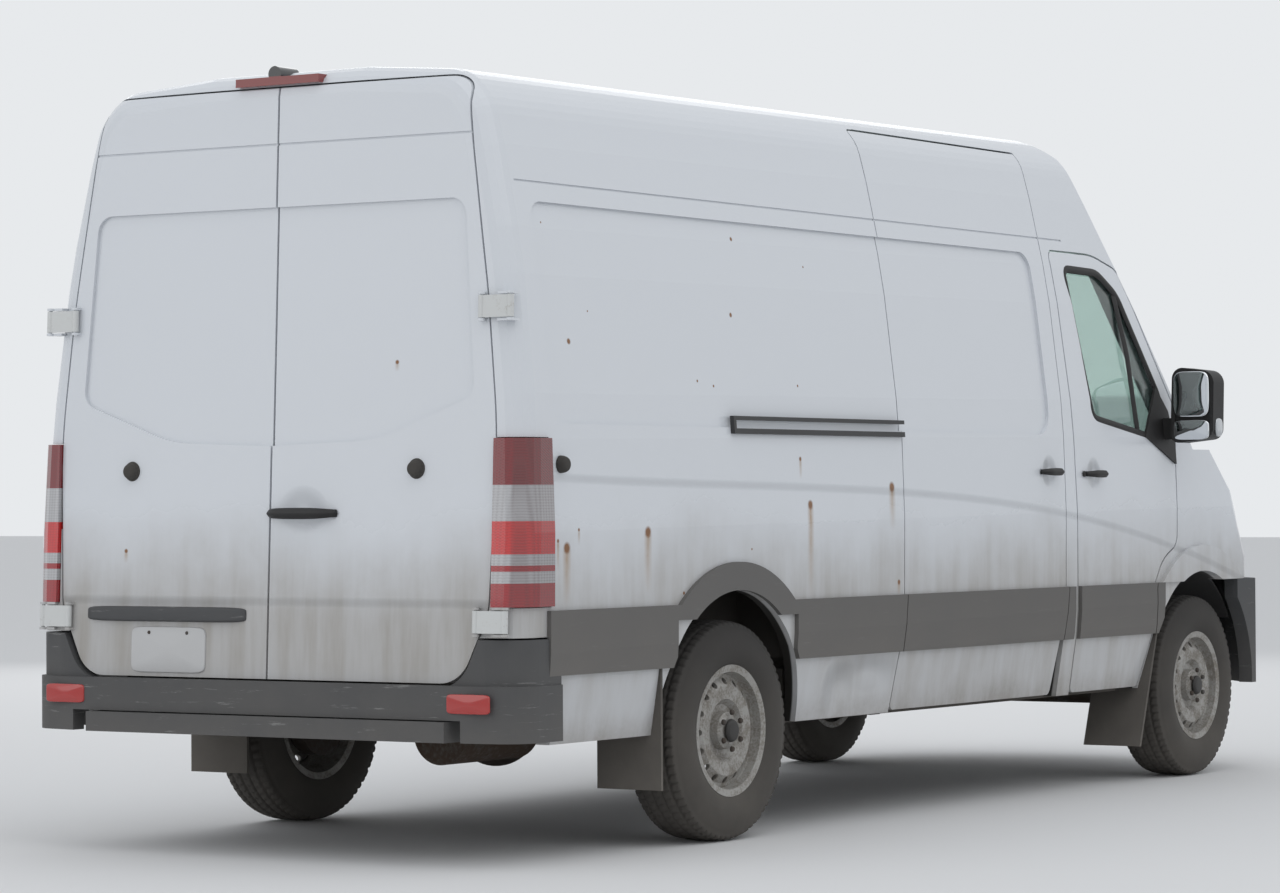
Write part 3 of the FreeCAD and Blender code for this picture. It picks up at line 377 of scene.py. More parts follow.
def road_paint(name, rust=(), dents=(), across="x", film=1.0, underseal_and_shade_from=None):
    """White paint. rust holds (place, height, radius, tail) and dents (place, height, ra, rb, depth).
    Below the crease the skin steps in by a few millimetres. Ahead of the place given by the last
    argument, what lies low and deeper than SKIN in the body, and all that the bumper hides, turns dark.
    This is partly the real underseal and partly painted shade."""
    paint = Finish(name, Roughness=0.3, Coat_Weight=0.35, Coat_Roughness=0.12, IOR=1.45)
    x, y, z = paint.place()
    a = x - REAR_AXLE if across == "x" else y
    cloud = paint.noise(2.2, EVEN, 5.0, 0.6)
    runs = paint.noise(7.0, (1.6, 1.6, 0.16), 4.0, 0.6)
    grain = paint.noise(60.0, EVEN, 3.0, 0.6)
    haze = smooth((FILM_TOP - z + (cloud - 0.5) * 0.30) / 0.42)
    below_strip = smooth((STRIP_FOOT - z) / 0.10)
    sill = smooth((SILL_TOP - z + (cloud - 0.5) * 0.25) / 0.16)
    streaks = smooth((runs - 0.30) * 2.2)
    thickness = (0.46 + 0.26 * streaks) * (0.75 + 0.5 * cloud) * (1.0 - 0.15 * below_strip)
    dirt = (haze * thickness * film).clamp()
    colour = paint.mix(0.05 + 0.10 * cloud, FRESH_WHITE, CHALKY_WHITE)
    colour = paint.mix(dirt, colour, ROAD_FILM)
    colour = paint.mix(sill * (0.25 + 0.9 * grain * runs), colour, SILL_DIRT)
    crease = side_crease(a) if across == "x" else TAIL_CREASE
    relief = smooth((crease - z) / CREASE_WIDTH) * -CREASE_DEPTH
    ragged = 0.55 + 0.9 * paint.noise(38.0, EVEN, 4.0, 0.65)
    for place, height, radius, tail in rust:
        spot = (disc(a, z, place, height, radius, radius) * 2.2 * ragged).clamp()
        if tail:
            below = smooth((height - z) / 0.012) * (1.0 - (height - z) / tail).clamp()
            run = (1.0 - abs(a - place) / (radius * 1.2)).clamp() * below * ragged
            colour = paint.mix((run * 0.85).clamp(), colour, RUST_RUN)
        colour = paint.mix(spot, colour, RUST)
    for place, height, ra, rb, depth in dents:
        relief = relief - smooth(disc(a, z, place, height, ra, rb) * 1.3) * depth
    # Painted shade, partly real underseal: the low inner faces in the arches and all that the bumper
    # hides turn dark.
    if underseal_and_shade_from is not None:
        face = SIDE_Y[1] - 0.16 * (SIDE_Z[1] + SIDE_RISE * a - z).clamp()
        deep = smooth((face - SKIN - abs(y)) / 0.008) * smooth((UNDERSEAL_AND_SHADE_TOP - z) / 0.02)
        arches = smooth((a - underseal_and_shade_from) / 0.02) * smooth((ARCHES_END - a) / 0.02)
        shade_behind_bumper = smooth((a - BUMPER_START) / 0.02) * smooth((BUMPER_TOP - z) / 0.01)
        colour = paint.mix((deep * arches + shade_behind_bumper).clamp(), colour, UNDERSEAL_AND_SHADE)
    paint.set("Base Color", colour)
    paint.set("Roughness", 0.26 + 0.5 * dirt + 0.1 * sill)
    paint.bump(relief, 1.0, 0.1)
    return paint.material


print("side crease at the axles:", side_crease(0.0), round(side_crease(WHEELBASE), 3))

# %% [markdown]
# The right side has its own rust, place by place, as the photograph shows it, and each panel with a
# handle has a scoop in its own finish. The long dent is in the sill behind the sliding door.

# %% White finishes
SIDE_RUST = [
    (-1.019, 0.999, 0.022, 0.19), (-0.951, 1.056, 0.007, 0.05), (-1.069, 1.022, 0.008, 0.10),
    (-0.548, 1.045, 0.022, 0.20), (0.494, 1.129, 0.020, 0.33), (1.073, 1.191, 0.022, 0.16),
    (0.436, 1.288, 0.010, 0.07), (1.118, 0.849, 0.012, 0.05), (0.101, 0.981, 0.005, 0.0),
    (-0.329, 0.842, 0.007, 0.0), (0.151, 2.038, 0.009, 0.0), (0.608, 1.963, 0.005, 0.0),
    (0.079, 1.775, 0.010, 0.0), (-0.925, 1.655, 0.012, 0.0), (-0.181, 1.545, 0.006, 0.0),
    (-0.082, 1.530, 0.006, 0.0), (0.471, 1.542, 0.006, 0.0), (-0.798, 1.756, 0.004, 0.0),
    (-0.996, 2.032, 0.004, 0.0)]
REAR_RUST = [(-0.489, 1.591, 0.009, 0.03), (0.601, 0.989, 0.009, 0.04)]
HANDLE_SCOOP = (0.062, 0.068, 0.17)                  # two radii and a depth
CAB_HANDLE_Z, SLIDE_HANDLE_Z, REAR_HANDLE_Z = 1.242, 1.249, 1.112
BEHIND_TAIL, BEHIND_DOOR = -0.90, 3.10               # the underseal and the painted shade start ahead of these places
white_paint = road_paint("road_worn_white", underseal_and_shade_from=BEHIND_TAIL)
side_white = road_paint("side_panel_white", rust=SIDE_RUST, underseal_and_shade_from=BEHIND_TAIL)
rear_white = road_paint("rear_door_white", rust=REAR_RUST, dents=[(-0.135, 1.118, 0.105, 0.085, 0.16)],
                        across="y", film=1.15)
door_white = road_paint("cab_door_white", dents=[(2.693, CAB_HANDLE_Z, *HANDLE_SCOOP)],
                        underseal_and_shade_from=BEHIND_DOOR)
slide_white = road_paint("sliding_door_white", dents=[(2.312, SLIDE_HANDLE_Z, *HANDLE_SCOOP)])
sill_white = road_paint("sill_white", dents=[(0.93, 0.50, 0.34, 0.13, 0.42),
                                             (0.72, 0.46, 0.12, 0.16, 0.25)],
                        film=0.8, underseal_and_shade_from=BEHIND_TAIL)
print("rust spots on the side and the rear doors:", len(SIDE_RUST), len(REAR_RUST))

# %% [markdown]
# The rub strips, arch lips and bumpers are grey plastic dyed through, so a scratch shows pale grey and
# not another colour. The sun bleaches it and dust lies on it. Each plastic could have nodes of its own,
# but they differ only in numbers, so one function gives the family, from the pale strips to the darker
# bumper, and the same recipe with other numbers serves rubber, seat cloth and floor mat.

# %% Plastics and rubber
SCUFF_GREY, SCUFF_STRETCH = (0.33, 0.33, 0.32), (0.8, 0.8, 9.0)


def dusty(name, colour, dust=(0.27, 0.245, 0.215), share=0.4, rough=0.62, scuffs=0.0, low=0.9):
    """A dull dyed material with dust that grows below the height low and, if asked, pale scuffs."""
    made = Finish(name, IOR=1.45)
    z = made.place()[2]
    cloud = made.noise(3.5, EVEN, 5.0, 0.6)
    grain = made.noise(240.0, EVEN, 2.0, 0.5)
    height = smooth((low - z) / low)
    base = made.mix((share * (0.35 + height) * (0.35 + 1.1 * cloud)).clamp(), colour, dust)
    if scuffs:
        scrape = made.noise(5.0, SCUFF_STRETCH, 6.0, 0.75)
        base = made.mix(smooth((scrape - 0.58) * 9.0) * scuffs, base, SCUFF_GREY)
    made.set("Base Color", base)
    made.set("Roughness", (rough + 0.2 * cloud).clamp())
    made.bump(grain, 0.25, 0.0008)
    return made.material


strip_grey = dusty("strip_grey", (0.112, 0.110, 0.108), share=0.45, scuffs=0.10)
bumper_grey = dusty("bumper_grey", (0.052, 0.056, 0.062), share=0.30, scuffs=0.55)
deep_black = dusty("deep_black", (0.012, 0.012, 0.013), share=0.10, rough=0.45)
under_black = dusty("under_black", (0.022, 0.020, 0.018), share=0.38, rough=0.8)
tyre_rubber = dusty("tyre_rubber", (0.018, 0.018, 0.019), dust=(0.20, 0.18, 0.155), share=0.34,
                    rough=0.8)
flap_rubber = dusty("flap_rubber", (0.030, 0.029, 0.028), share=0.42, rough=0.85)
rail_dark = dusty("rail_dark", (0.030, 0.031, 0.033), share=0.12, rough=0.4)
print("a scuff is about", round(SCUFF_STRETCH[2] / SCUFF_STRETCH[0]), "times longer than high")

# %% [markdown]
# The metal that shows is bare or thinly painted: silver wheels with brake dust in their vents, a rusty
# exhaust, and cast hinge parts sprayed in the white of the body but worn in places. Dirt could be a
# second material mixed over the first. One material whose colour, gloss and metal all follow one mask
# does the same and is quicker to bake.

# %% Metals
def worn_metal(name, colour, dirt, share, rough, metallic, scale=9.0):
    """Metal whose dirt grows in clouds. Where the dirt lies, the surface is dull and hardly metallic."""
    made = Finish(name)
    cloud = made.noise(scale, EVEN, 6.0, 0.65)
    speck = made.noise(scale * 8.0, EVEN, 3.0, 0.6)
    mask = smooth((cloud - 0.5 + share * 0.55 + (speck - 0.5) * 0.5) * 2.6)
    made.set("Base Color", made.mix(mask, colour, dirt))
    if metallic:
        made.set("Metallic", metallic * (1.0 - 0.85 * mask))
    made.set("Roughness", rough + 0.35 * mask)
    made.bump(speck, 0.2, 0.001)
    return made.material


rim_steel = worn_metal("rim_silver", (0.36, 0.35, 0.33), (0.20, 0.18, 0.155), 0.30, 0.45, 0.45, 15.0)
dull_steel = worn_metal("exhaust_steel", (0.09, 0.08, 0.07), (0.055, 0.035, 0.024), 0.55, 0.6, 0.5)
cast_parts = worn_metal("cast_parts", (0.10, 0.095, 0.09), (0.07, 0.055, 0.045), 0.5, 0.6, 0.5)
hinge_white = worn_metal("hinge_white", (0.62, 0.63, 0.62), (0.40, 0.38, 0.34), -0.15, 0.4, 0.0, 14.0)
print("metals:", [made.name for made in (rim_steel, dull_steel, cast_parts, hinge_white)])

# %% [markdown]
# Window glass is clear with a faint green tint, so the seats show through it. Mirror glass is the
# opposite: a plain metal with almost no roughness, which needs no pattern at all.

# %% Glass
glass = Finish("window_glass", Base_Color=(0.50, 0.60, 0.57), Roughness=0.02, IOR=1.45,
               Transmission_Weight=0.95).material
mirror_glass = Finish("mirror_glass", Base_Color=(0.80, 0.82, 0.84), Metallic=1.0,
                      Roughness=0.02).material
print("glasses:", glass.name, mirror_glass.name)

# %% [markdown]
# Lamp lenses are thick coloured plastic over a bright reflector. They could be glass over modelled
# bowls, which is slow to render and noisy. From outside a lens reads as a glossy, almost opaque colour,
# so the lamps use a strong coat over a saturated base. The tail lamp changes colour with height, in
# seven bands, which a Color Ramp with sharp stops gives.

# %% Tail lamps
LAMP_LOW, LAMP_HIGH = 0.818, 1.345
RED, BRIGHT_RED, DARK_RED = (0.36, 0.012, 0.018), (0.60, 0.02, 0.02), (0.20, 0.006, 0.010)
CLEAR, DEEP_RED = (0.47, 0.47, 0.48), (0.06, 0.02, 0.02)
BANDS = [(0.0, RED), (0.14, CLEAR), (0.21, RED), (0.245, CLEAR), (0.31, BRIGHT_RED), (0.505, CLEAR),
         (0.72, DARK_RED)]


def banded_lamp(name):
    """Tail lamp: the ramp runs from its bottom to its top, with ribs behind the clear bands."""
    lamp = Finish(name, Roughness=0.12, IOR=1.5, Coat_Weight=1.0, Coat_Roughness=0.03)
    x, y, z = lamp.place()
    share = (z - LAMP_LOW) / (LAMP_HIGH - LAMP_LOW)
    band = lamp.add("ShaderNodeValToRGB", {"interpolation": "CONSTANT", "stops": BANDS}, [share])
    wave = lamp.add("ShaderNodeMath", {"operation": "SINE"}, [z * 700.0])
    fine = lamp.add("ShaderNodeMath", {"operation": "SINE"}, [(y + x) * 420.0])
    outer = smooth((y * y - 0.893) / 0.02)      # the part that wraps round to the side is duller
    glow = lamp.mix(0.10 + 0.30 * outer + 0.08 * wave + 0.07 * fine, band, DEEP_RED)
    lamp.set("Base Color", glow)
    lamp.bump(wave * fine, 0.25, 0.001)
    return lamp.material


tail_lens = banded_lamp("tail_lens")
print("bands in each tail lamp:", len(BANDS))

# %% [markdown]
# The headlamps are not in the photograph. They get what this kind of van has, two round bowls behind a
# clear lens and an amber outer corner. Each bowl is painted as rings around a middle point: a painted
# highlight on the rim and painted shade in the depth.

# %% Headlamps
AMBER_FROM = 0.905                                   # the corner is amber further out than this
BOWLS = ((0.800, 1.005, 0.085), (0.700, 0.935, 0.062))                # place, height and radius
HOUSING, AMBER = (0.055, 0.058, 0.062), (0.30, 0.13, 0.04)
# The rim's pale ring is a painted highlight, and the darker depth of each bowl is painted shade.
BOWL_RIM_HIGHLIGHT, BOWL_DEPTH_SHADE, BOWL_BULB = (0.55, 0.56, 0.57), (0.16, 0.165, 0.17), (0.66, 0.66, 0.64)


def head_lamp(name):
    """Headlamp: bowls in a dark housing, each with a painted highlight on its rim, painted shade in its
    depth and a bright middle.
    """
    lamp = Finish(name, Roughness=0.12, IOR=1.5, Coat_Weight=1.0, Coat_Roughness=0.02)
    x, y, z = lamp.place()
    side = abs(y)
    colour = lamp.mix(smooth((side - AMBER_FROM) / 0.02), HOUSING, AMBER)
    # Painted light on each bowl: a highlight ring on the rim, then painted shade in the depth, then the
    # bright middle.
    for place, height, radius in BOWLS:
        bowl = disc(side, z, place, height, radius, radius)
        colour = lamp.mix(smooth(bowl * 8.0), colour, BOWL_RIM_HIGHLIGHT)
        colour = lamp.mix(smooth((bowl - 0.35) * 4.0), colour, BOWL_DEPTH_SHADE)
        colour = lamp.mix(smooth((bowl - 0.75) * 8.0), colour, BOWL_BULB)
    lamp.set("Base Color", colour)
    return lamp.material


head_lens = head_lamp("head_lens")
print("bowls in each headlamp:", len(BOWLS))

# %% [markdown]
# The rest of the lenses are one colour. The high brake lamp is a red bar under a black housing, so it
# turns black above a given height.

# %% Brake lamp, reflectors and indicators
BRAKE_TOP, BRAKE_RED, BRAKE_BLACK = 2.531, (0.20, 0.014, 0.012), (0.012, 0.012, 0.013)
red_lens = Finish("red_lens", Base_Color=(0.42, 0.018, 0.014), Roughness=0.15, Coat_Weight=1.0,
                  Coat_Roughness=0.03).material
brake = Finish("brake_lens", Roughness=0.2, Coat_Weight=0.8, Coat_Roughness=0.05)
above_lens = smooth((brake.place()[2] - BRAKE_TOP) / 0.003)
brake.set("Base Color", brake.mix(above_lens, BRAKE_RED, BRAKE_BLACK))
brake_lens = brake.material
clear_lens = Finish("clear_lens", Base_Color=(0.50, 0.52, 0.54), Roughness=0.1, Coat_Weight=1.0,
                    Coat_Roughness=0.02, Metallic=0.3).material
print("lenses:", red_lens.name, brake_lens.name, clear_lens.name)

# %% [markdown]
# Inside, the cloth, dashboard and floor mat are seen only through glass, and the number plates are bare
# painted metal. The plastics' function serves them all, with the dust spread over a greater height.

# %% Interior and blank plates
seat_cloth = dusty("seat_cloth", (0.030, 0.032, 0.038), share=0.05, rough=0.9, low=3.0)
dash_plastic = dusty("dash_plastic", (0.035, 0.035, 0.037), share=0.08, rough=0.6, low=3.0)
floor_mat = dusty("floor_mat", (0.045, 0.042, 0.038), share=0.3, rough=0.9, low=3.0)
plate_blank = dusty("plate_blank", (0.58, 0.585, 0.59), share=0.20, rough=0.35, low=1.6)
print("interior finishes:", seat_cloth.name, dash_plastic.name, floor_mat.name)

# %% [markdown]
# Each CAD node names a material slot. Its finish could be given node by node, but most nodes share
# one, so the dressing gives each slot its finish, and only some panels get a finish of their own, such
# as the side panel that carries the rust.

# %% Dress the CAD nodes
SLOT_FINISH = {
    "white_paint": white_paint, "grey_plastic": strip_grey, "black_plastic": deep_black,
    "clear_glass": glass, "lamp_clear": clear_lens, "lamp_red": red_lens, "chassis_paint": under_black,
    "floor_mat": floor_mat, "dash_plastic": dash_plastic, "seat_cloth": seat_cloth,
    "cast_parts": cast_parts, "dull_steel": dull_steel, "flap_rubber": flap_rubber,
    "rim_steel": rim_steel, "tyre_rubber": tyre_rubber}
OWN_FINISH = {
    "side_panel_right": side_white, "rear_door_left": rear_white, "rear_door_right": rear_white,
    "sliding_door": slide_white, "door_front_right": door_white, "door_front_left": door_white,
    "lower_panel_right": sill_white, "tail_lamps": tail_lens, "rear_bumper": bumper_grey,
    "front_bumper": bumper_grey, "rear_step": bumper_grey, "slide_rail": rail_dark,
    "hinge_links_left": hinge_white, "hinge_links_right": hinge_white, "brake_lamp": brake_lens,
    "headlamps": head_lens}
slots = {}
for part in frame["record"]["subparts"]:
    slots[part["node"]] = part.get("material_slot") or part.get("material")
for name, obj in nodes.items():
    obj.data.materials.clear()
    obj.data.materials.append(OWN_FINISH.get(name) or SLOT_FINISH[slots[name]])
print("dressed", len(nodes), "nodes,", len(OWN_FINISH), "of them with a finish of their own")

# %% [markdown]
# The CAD tyre is a plain ring. The real one has a rounded shoulder, a flat tread cut by four grooves
# around it and by slits across it, and a rubber sidewall with raised rings. Tread can be cut out with
# Booleans or copied block by block with an Array modifier. The surface below walks the cross-section
# with one parameter and the wheel's turn with the other, and lowers the tread wherever a groove or a
# slit passes, which keeps it one closed skin. It stands for the CAD tyre, on the same body, so it spins
# with the wheel.

# %% Tyres with tread
WALL_STEPS, TREAD_STEPS, TURN_STEPS = 15, 45, 360
SLITS = 72                                           # slits in one turn of a rib
GROOVE_DEPTH, SHOULDER_DROP, TREAD_CROWN = 0.008, 0.022, 0.010
TREAD_SHARE, INNER_SHARE = 0.80, 0.70                # tread and inner edge as shares of the half width
GROOVES, GROOVE_WIDTH = (0.22, 0.64), 0.045          # as shares of the tread's half width
SLIT_SHARE = 0.22
RING_HEIGHT, RINGS_FROM = 0.0012, 0.15               # the raised rings on the sidewall


def tyre(name, cad_node, body):
    """Radius = section radius - depth * (groove around, or slit across): the slit's place is shifted
    with the width, so that it slants, and is turned half a block between neighbouring ribs."""
    low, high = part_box(cad_node)
    centre = np.array([(low.x + high.x) / 2, (low.y + high.y) / 2, (low.z + high.z) / 2])
    radius, half = (high.z - low.z) / 2, (high.y - low.y) / 2
    # half section as (width, radius): bead, bulging side, shoulder, then the flat tread
    bead, tread_half = RIM_R + 0.012, half * TREAD_SHARE
    wall = np.linspace(0, 1, WALL_STEPS)
    side_w = half * (TREAD_SHARE + (1 - TREAD_SHARE) * np.sin(np.pi * wall ** 0.9) ** 0.8)
    side_w = side_w + RING_HEIGHT * np.sin(wall * 44.0) * (wall > RINGS_FROM)
    side_r = bead + (radius - SHOULDER_DROP - bead) * wall
    tread_w = np.linspace(tread_half, -tread_half, TREAD_STEPS)
    tread_r = radius - TREAD_CROWN * np.abs(tread_w / tread_half) ** 4.0
    widths = np.concatenate([side_w, tread_w, -side_w[::-1]])
    radii = np.concatenate([side_r, tread_r, side_r[::-1]])
    on_tread = np.concatenate([np.zeros(WALL_STEPS), np.ones(TREAD_STEPS), np.zeros(WALL_STEPS)])
    # grooves, ribs and slits, with share = place across the tread from -1 to 1
    u = np.linspace(0, 2 * np.pi, TURN_STEPS, endpoint=False)[:, None]
    share = widths[None] / tread_half
    around = sum(np.exp(-((np.abs(share) - place) / GROOVE_WIDTH) ** 4) for place in GROOVES)
    rib = np.floor((share + 1.0) * 2.5)
    phase = (u * SLITS / (2 * np.pi) + 0.8 * share + 0.5 * (rib % 2)) % 1.0
    slit = (phase < SLIT_SHARE) * (np.abs(share) < 1.02) * (0.6 + 0.4 * (np.abs(share) > GROOVES[1]))
    r = radii[None] - GROOVE_DEPTH * on_tread * np.clip(np.maximum(around, slit), 0, 1)
    # two more columns close the ring on its inside, where it sits on the rim
    inner_w = half * INNER_SHARE
    r = np.concatenate([r, np.full((TURN_STEPS, 2), RIM_R + 0.004)], 1)
    w = np.concatenate([np.repeat(widths[None], TURN_STEPS, 0),
                        np.repeat([[-inner_w, inner_w]], TURN_STEPS, 0)], 1)
    points = centre + np.stack([r * np.sin(u), w, r * np.cos(u)], -1)
    ring = grid_piece(name, points, body, tyre_rubber, close_u=True, close_v=True)
    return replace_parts(ring, cad_node)


for end in ("front", "rear"):
    for side in ("left", "right"):
        piece = tyre(f"tread_{end}_{side}", f"tyre_{end}_{side}", f"wheel_{end}_{side}")
print("tyre triangles each:", 2 * len(piece.data.polygons))

# %% [markdown]
# The wheels carry a round cap in the hub and a ring of bolts around it. The cap could be a squashed
# ball and the bolts an array, but both are cushions too. A bolt has only a dozen sides, so that the
# whole ring stays light, and the six bolts of a wheel are one object.

# %% Hub caps and wheel bolts
BOLTS, BOLT_RING, BOLT_SIZE, HUB_CAP_SIZE = 6, 0.062, 0.020, 0.078
for end, cx in (("front", WHEELBASE), ("rear", 0.0)):
    for sign, side in ((1, "left"), (-1, "right")):
        low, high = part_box(f"rim_{end}_{side}")
        face_y = high.y if sign > 0 else low.y
        outwards = (-sign, 0, 0), UPWARD
        bolts = []
        for k in range(BOLTS):
            angle = math.radians(360 / BOLTS * k + 30)
            spot = at(cx + BOLT_RING * math.cos(angle), face_y - sign * 0.001,
                      AXLE_Z + BOLT_RING * math.sin(angle))
            bolts.append(cushion(f"bolt_{k}", spot, *outwards, (BOLT_SIZE, BOLT_SIZE), 0.010,
                                 f"wheel_{end}_{side}", cast_parts, edge=0.3, nu=12, nv=6))
        joined(f"wheel_bolts_{end}_{side}", bolts)
        cushion(f"hub_cap_{end}_{side}", at(cx, face_y - sign * 0.002, AXLE_Z), *outwards,
                (HUB_CAP_SIZE, HUB_CAP_SIZE), 0.014, f"wheel_{end}_{side}", deep_black, edge=0.35)
print("rim face at y", round(face_y, 3))

# %% [markdown]
# The black corner trim ahead of the mirror lies on the side of the van and follows its curve. A plate
# could be shrink-wrapped onto the side; here a strap is laid between a lower and an upper line given as
# (x, z) points, because the side's curve is already a function. Its skin stands a few millimetres proud
# and its back is sunk into the side, which hides the joint.

# %% Strap on the side of the body
STRAP_SINK, STRAP_STEPS, STRAP_ROWS = 0.004, 24, 7


def even_steps(line, steps):
    """Points spread evenly along a line of (x, z) corners."""
    line = np.asarray(line, float)
    reach = np.concatenate([[0], np.cumsum(np.linalg.norm(np.diff(line, axis=0), axis=1))])
    u = np.linspace(0, reach[-1], steps)
    return np.stack([np.interp(u, reach, line[:, i]) for i in range(2)], -1)


def strap(name, low, high, proud, body, finish, sign):
    """Point = mix of low(u) and high(u) by v, set at y = sign*(side_y(x, z) + proud). The edge rows and
    columns are sunk, and the first and last row shrink to a pole, which closes the piece."""
    v = np.concatenate([[0], np.linspace(0, 1, STRAP_ROWS), [1]])[None, :, None]
    flat = even_steps(low, STRAP_STEPS)[:, None] * (1 - v) + even_steps(high, STRAP_STEPS)[:, None] * v
    poles = [row.mean(1, keepdims=True).repeat(v.shape[1], 1) for row in (flat[:1], flat[-1:])]
    rows = np.concatenate([poles[0], flat[:1], flat, flat[-1:], poles[1]])
    lifts = np.full(rows.shape[:2], -STRAP_SINK)
    lifts[2:-2, 1:-1] = proud
    x, z = rows[..., 0], rows[..., 1]
    points = at(x, sign * (side_y(x, z) + lifts), z)
    return grid_piece(name, points, body, finish, close_v=True, smooth=False)


def on_side(x, z, sign, proud):
    """The place on the body's side at x, z; sign is 1 on the left and -1 on the right."""
    return at(x, sign * (side_y(x, z) + proud), z)


print("a strap has", (STRAP_STEPS + 4) * (STRAP_ROWS + 2), "points")

# %% [markdown]
# The cab door's window is framed by a black seal, and a bar divides the fixed front light from the
# glass that winds down. Ahead of it a black plastic triangle carries the mirror and runs on below the
# window line across the door's front edge. The seal could be cut from the door with a Boolean. It is a
# flat oval profile carried around the window's outline instead, which gives it soft edges.

# %% Cab window frames and corner trim
WINDOW = np.array([(2.612, 2.050), (2.905, 2.045), (3.050, 1.962), (3.335, 1.545), (3.360, 1.372),
                   (2.715, 1.462)])
WINDOW_CORNER_R, CORNER_STEPS = 0.045, 6
BAR_TOP, BAR_FOOT = (3.034, 1.966), (3.116, 1.413)
TRIM_LOW = [(3.16, 1.395), (3.43, 1.285)]
TRIM_HIGH = [(3.285, 1.595), (3.385, 1.50), (3.43, 1.37)]
SEAL_OVAL, BAR_OVAL, LEVEL = (0.016, 0.007), (0.020, 0.008), (0, 1, 0)


def rounded_line(corners, radius):
    """Corners cut by radius and filled with a curve, (1-t)^2 a + 2t(1-t) corner + t^2 b."""
    before, after = np.roll(corners, 1, 0), np.roll(corners, -1, 0)
    ins, outs = before - corners, after - corners
    a = corners + ins / np.linalg.norm(ins, axis=1)[:, None] * radius
    b = corners + outs / np.linalg.norm(outs, axis=1)[:, None] * radius
    t = np.linspace(0, 1, CORNER_STEPS)[None, :, None]
    curve = (1 - t) ** 2 * a[:, None] + 2 * t * (1 - t) * corners[:, None] + t ** 2 * b[:, None]
    return curve.reshape(-1, corners.shape[1])


seal_line = rounded_line(WINDOW, WINDOW_CORNER_R)
for sign, side in ((-1, "right"), (1, "left")):
    body = f"door_front_{side}"
    path = on_side(seal_line[:, 0], seal_line[:, 1], sign, -0.004)
    seal = swept(f"window_seal_{side}", path, SEAL_OVAL, body, deep_black, keep=LEVEL, closed=True,
                 power=1.4)
    t = np.linspace(0, 1, 12)
    bar_x, bar_z = (BAR_TOP[i] + (BAR_FOOT[i] - BAR_TOP[i]) * t for i in (0, 1))
    path = on_side(bar_x, bar_z, sign, -0.008)
    bar = swept(f"window_bar_{side}", path, BAR_OVAL, body, deep_black, keep=LEVEL, power=1.2)
    trim = strap(f"corner_trim_{side}", TRIM_LOW, TRIM_HIGH, 0.006, body, deep_black, sign)
    for piece in (seal, bar, trim):
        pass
print("seal points:", len(seal_line))

# %% [markdown]
# The mirror heads are CAD solids. Their rear face takes two glasses, a tall flat one and a small domed
# one below it, and a clear indicator lens sits on the outer lower corner. The glasses could be faces of
# the head with another material; as thin cushions they get a frame line around them.

# %% Mirror glass and indicators
MIRROR_BACK_X = 3.295 + REAR_AXLE
MIRROR_GLASSES = (("main", 1.565, 0.185), ("wide", 1.420, 0.080))     # name, height of middle, height
MIRROR_WIDTH, MIRROR_IN, INDICATOR_Z, INDICATOR_SIZE = 0.160, 0.100, 1.430, (0.060, 0.075)
for sign, side in ((-1, "right"), (1, "left")):
    low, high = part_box(f"mirror_{side}")
    outer = high.y if sign > 0 else low.y
    body = f"door_front_{side}"
    for name, z, tall in MIRROR_GLASSES:
        cushion(f"mirror_{name}_{side}", (MIRROR_BACK_X + 0.002, outer - sign * MIRROR_IN, z),
                ACROSS_BACK, UPWARD, (MIRROR_WIDTH, tall), 0.005, body, mirror_glass, power=5.0,
                edge=0.06)
    cushion(f"mirror_indicator_{side}", (MIRROR_BACK_X + 0.052, outer - sign * 0.004, INDICATOR_Z),
            (-sign, 0, 0), UPWARD, INDICATOR_SIZE, 0.008, body, clear_lens, power=3.0)
print("mirror reaches y", round(outer, 3))

# %% [markdown]
# The door handles are bars that bow out of a round scoop pressed into the skin. A bar could be a cube
# that is bevelled and bent. A swept oval does it in one formula, with its ends turned in to the door.
# The scoop is in the paint's Bump.

# %% Door handles
CAB_BAR, SLIDE_BAR, REAR_BAR = (2.615, 2.765), (2.235, 2.385), (0.002, -0.270)     # the two ends
CAB_LOCK_X, CAB_LOCK_SIZE = 2.600, (0.024, 0.024)


def handle(name, start, end, out, body, bow=0.032, thick=(0.011, 0.015)):
    """Path = straight from start to end, lifted by out * bow * (1 - (2t-1)^6), so its ends turn in."""
    t = np.linspace(0, 1, 28)[:, None]
    lift = np.array(out, float) * bow * (1 - (2 * t - 1) ** 6)
    path = np.array(start) * (1 - t) + np.array(end) * t + lift
    swell = 1.0 - 0.35 * np.abs(2 * t - 1) ** 3
    bar = swept(name, path, np.array(thick)[None] * swell, body, deep_black, power=1.2)
    return bar


handle("slide_handle", *(on_side(x, SLIDE_HANDLE_Z, -1, -0.004) for x in SLIDE_BAR), (0, -1, 0),
       "van_body")
for sign, side in ((-1, "right"), (1, "left")):
    handle(f"cab_handle_{side}", *(on_side(x, CAB_HANDLE_Z, sign, -0.004) for x in CAB_BAR),
           (0, sign, 0), f"door_front_{side}")
    if side == "right":
        cushion(f"cab_lock_{side}", on_side(CAB_LOCK_X, CAB_HANDLE_Z, sign, -0.002), (1, 0, 0), UPWARD,
                CAB_LOCK_SIZE, 0.005, f"door_front_{side}", deep_black)
rear_x = tail_x(REAR_HANDLE_Z)
bar = handle("rear_handle", *(at(rear_x, y, REAR_HANDLE_Z) for y in REAR_BAR), (-1, 0, 0),
             "rear_door_right", bow=0.036, thick=(0.014, 0.019))
print("rear handle", [round(v, 3) for v in bar.dimensions])

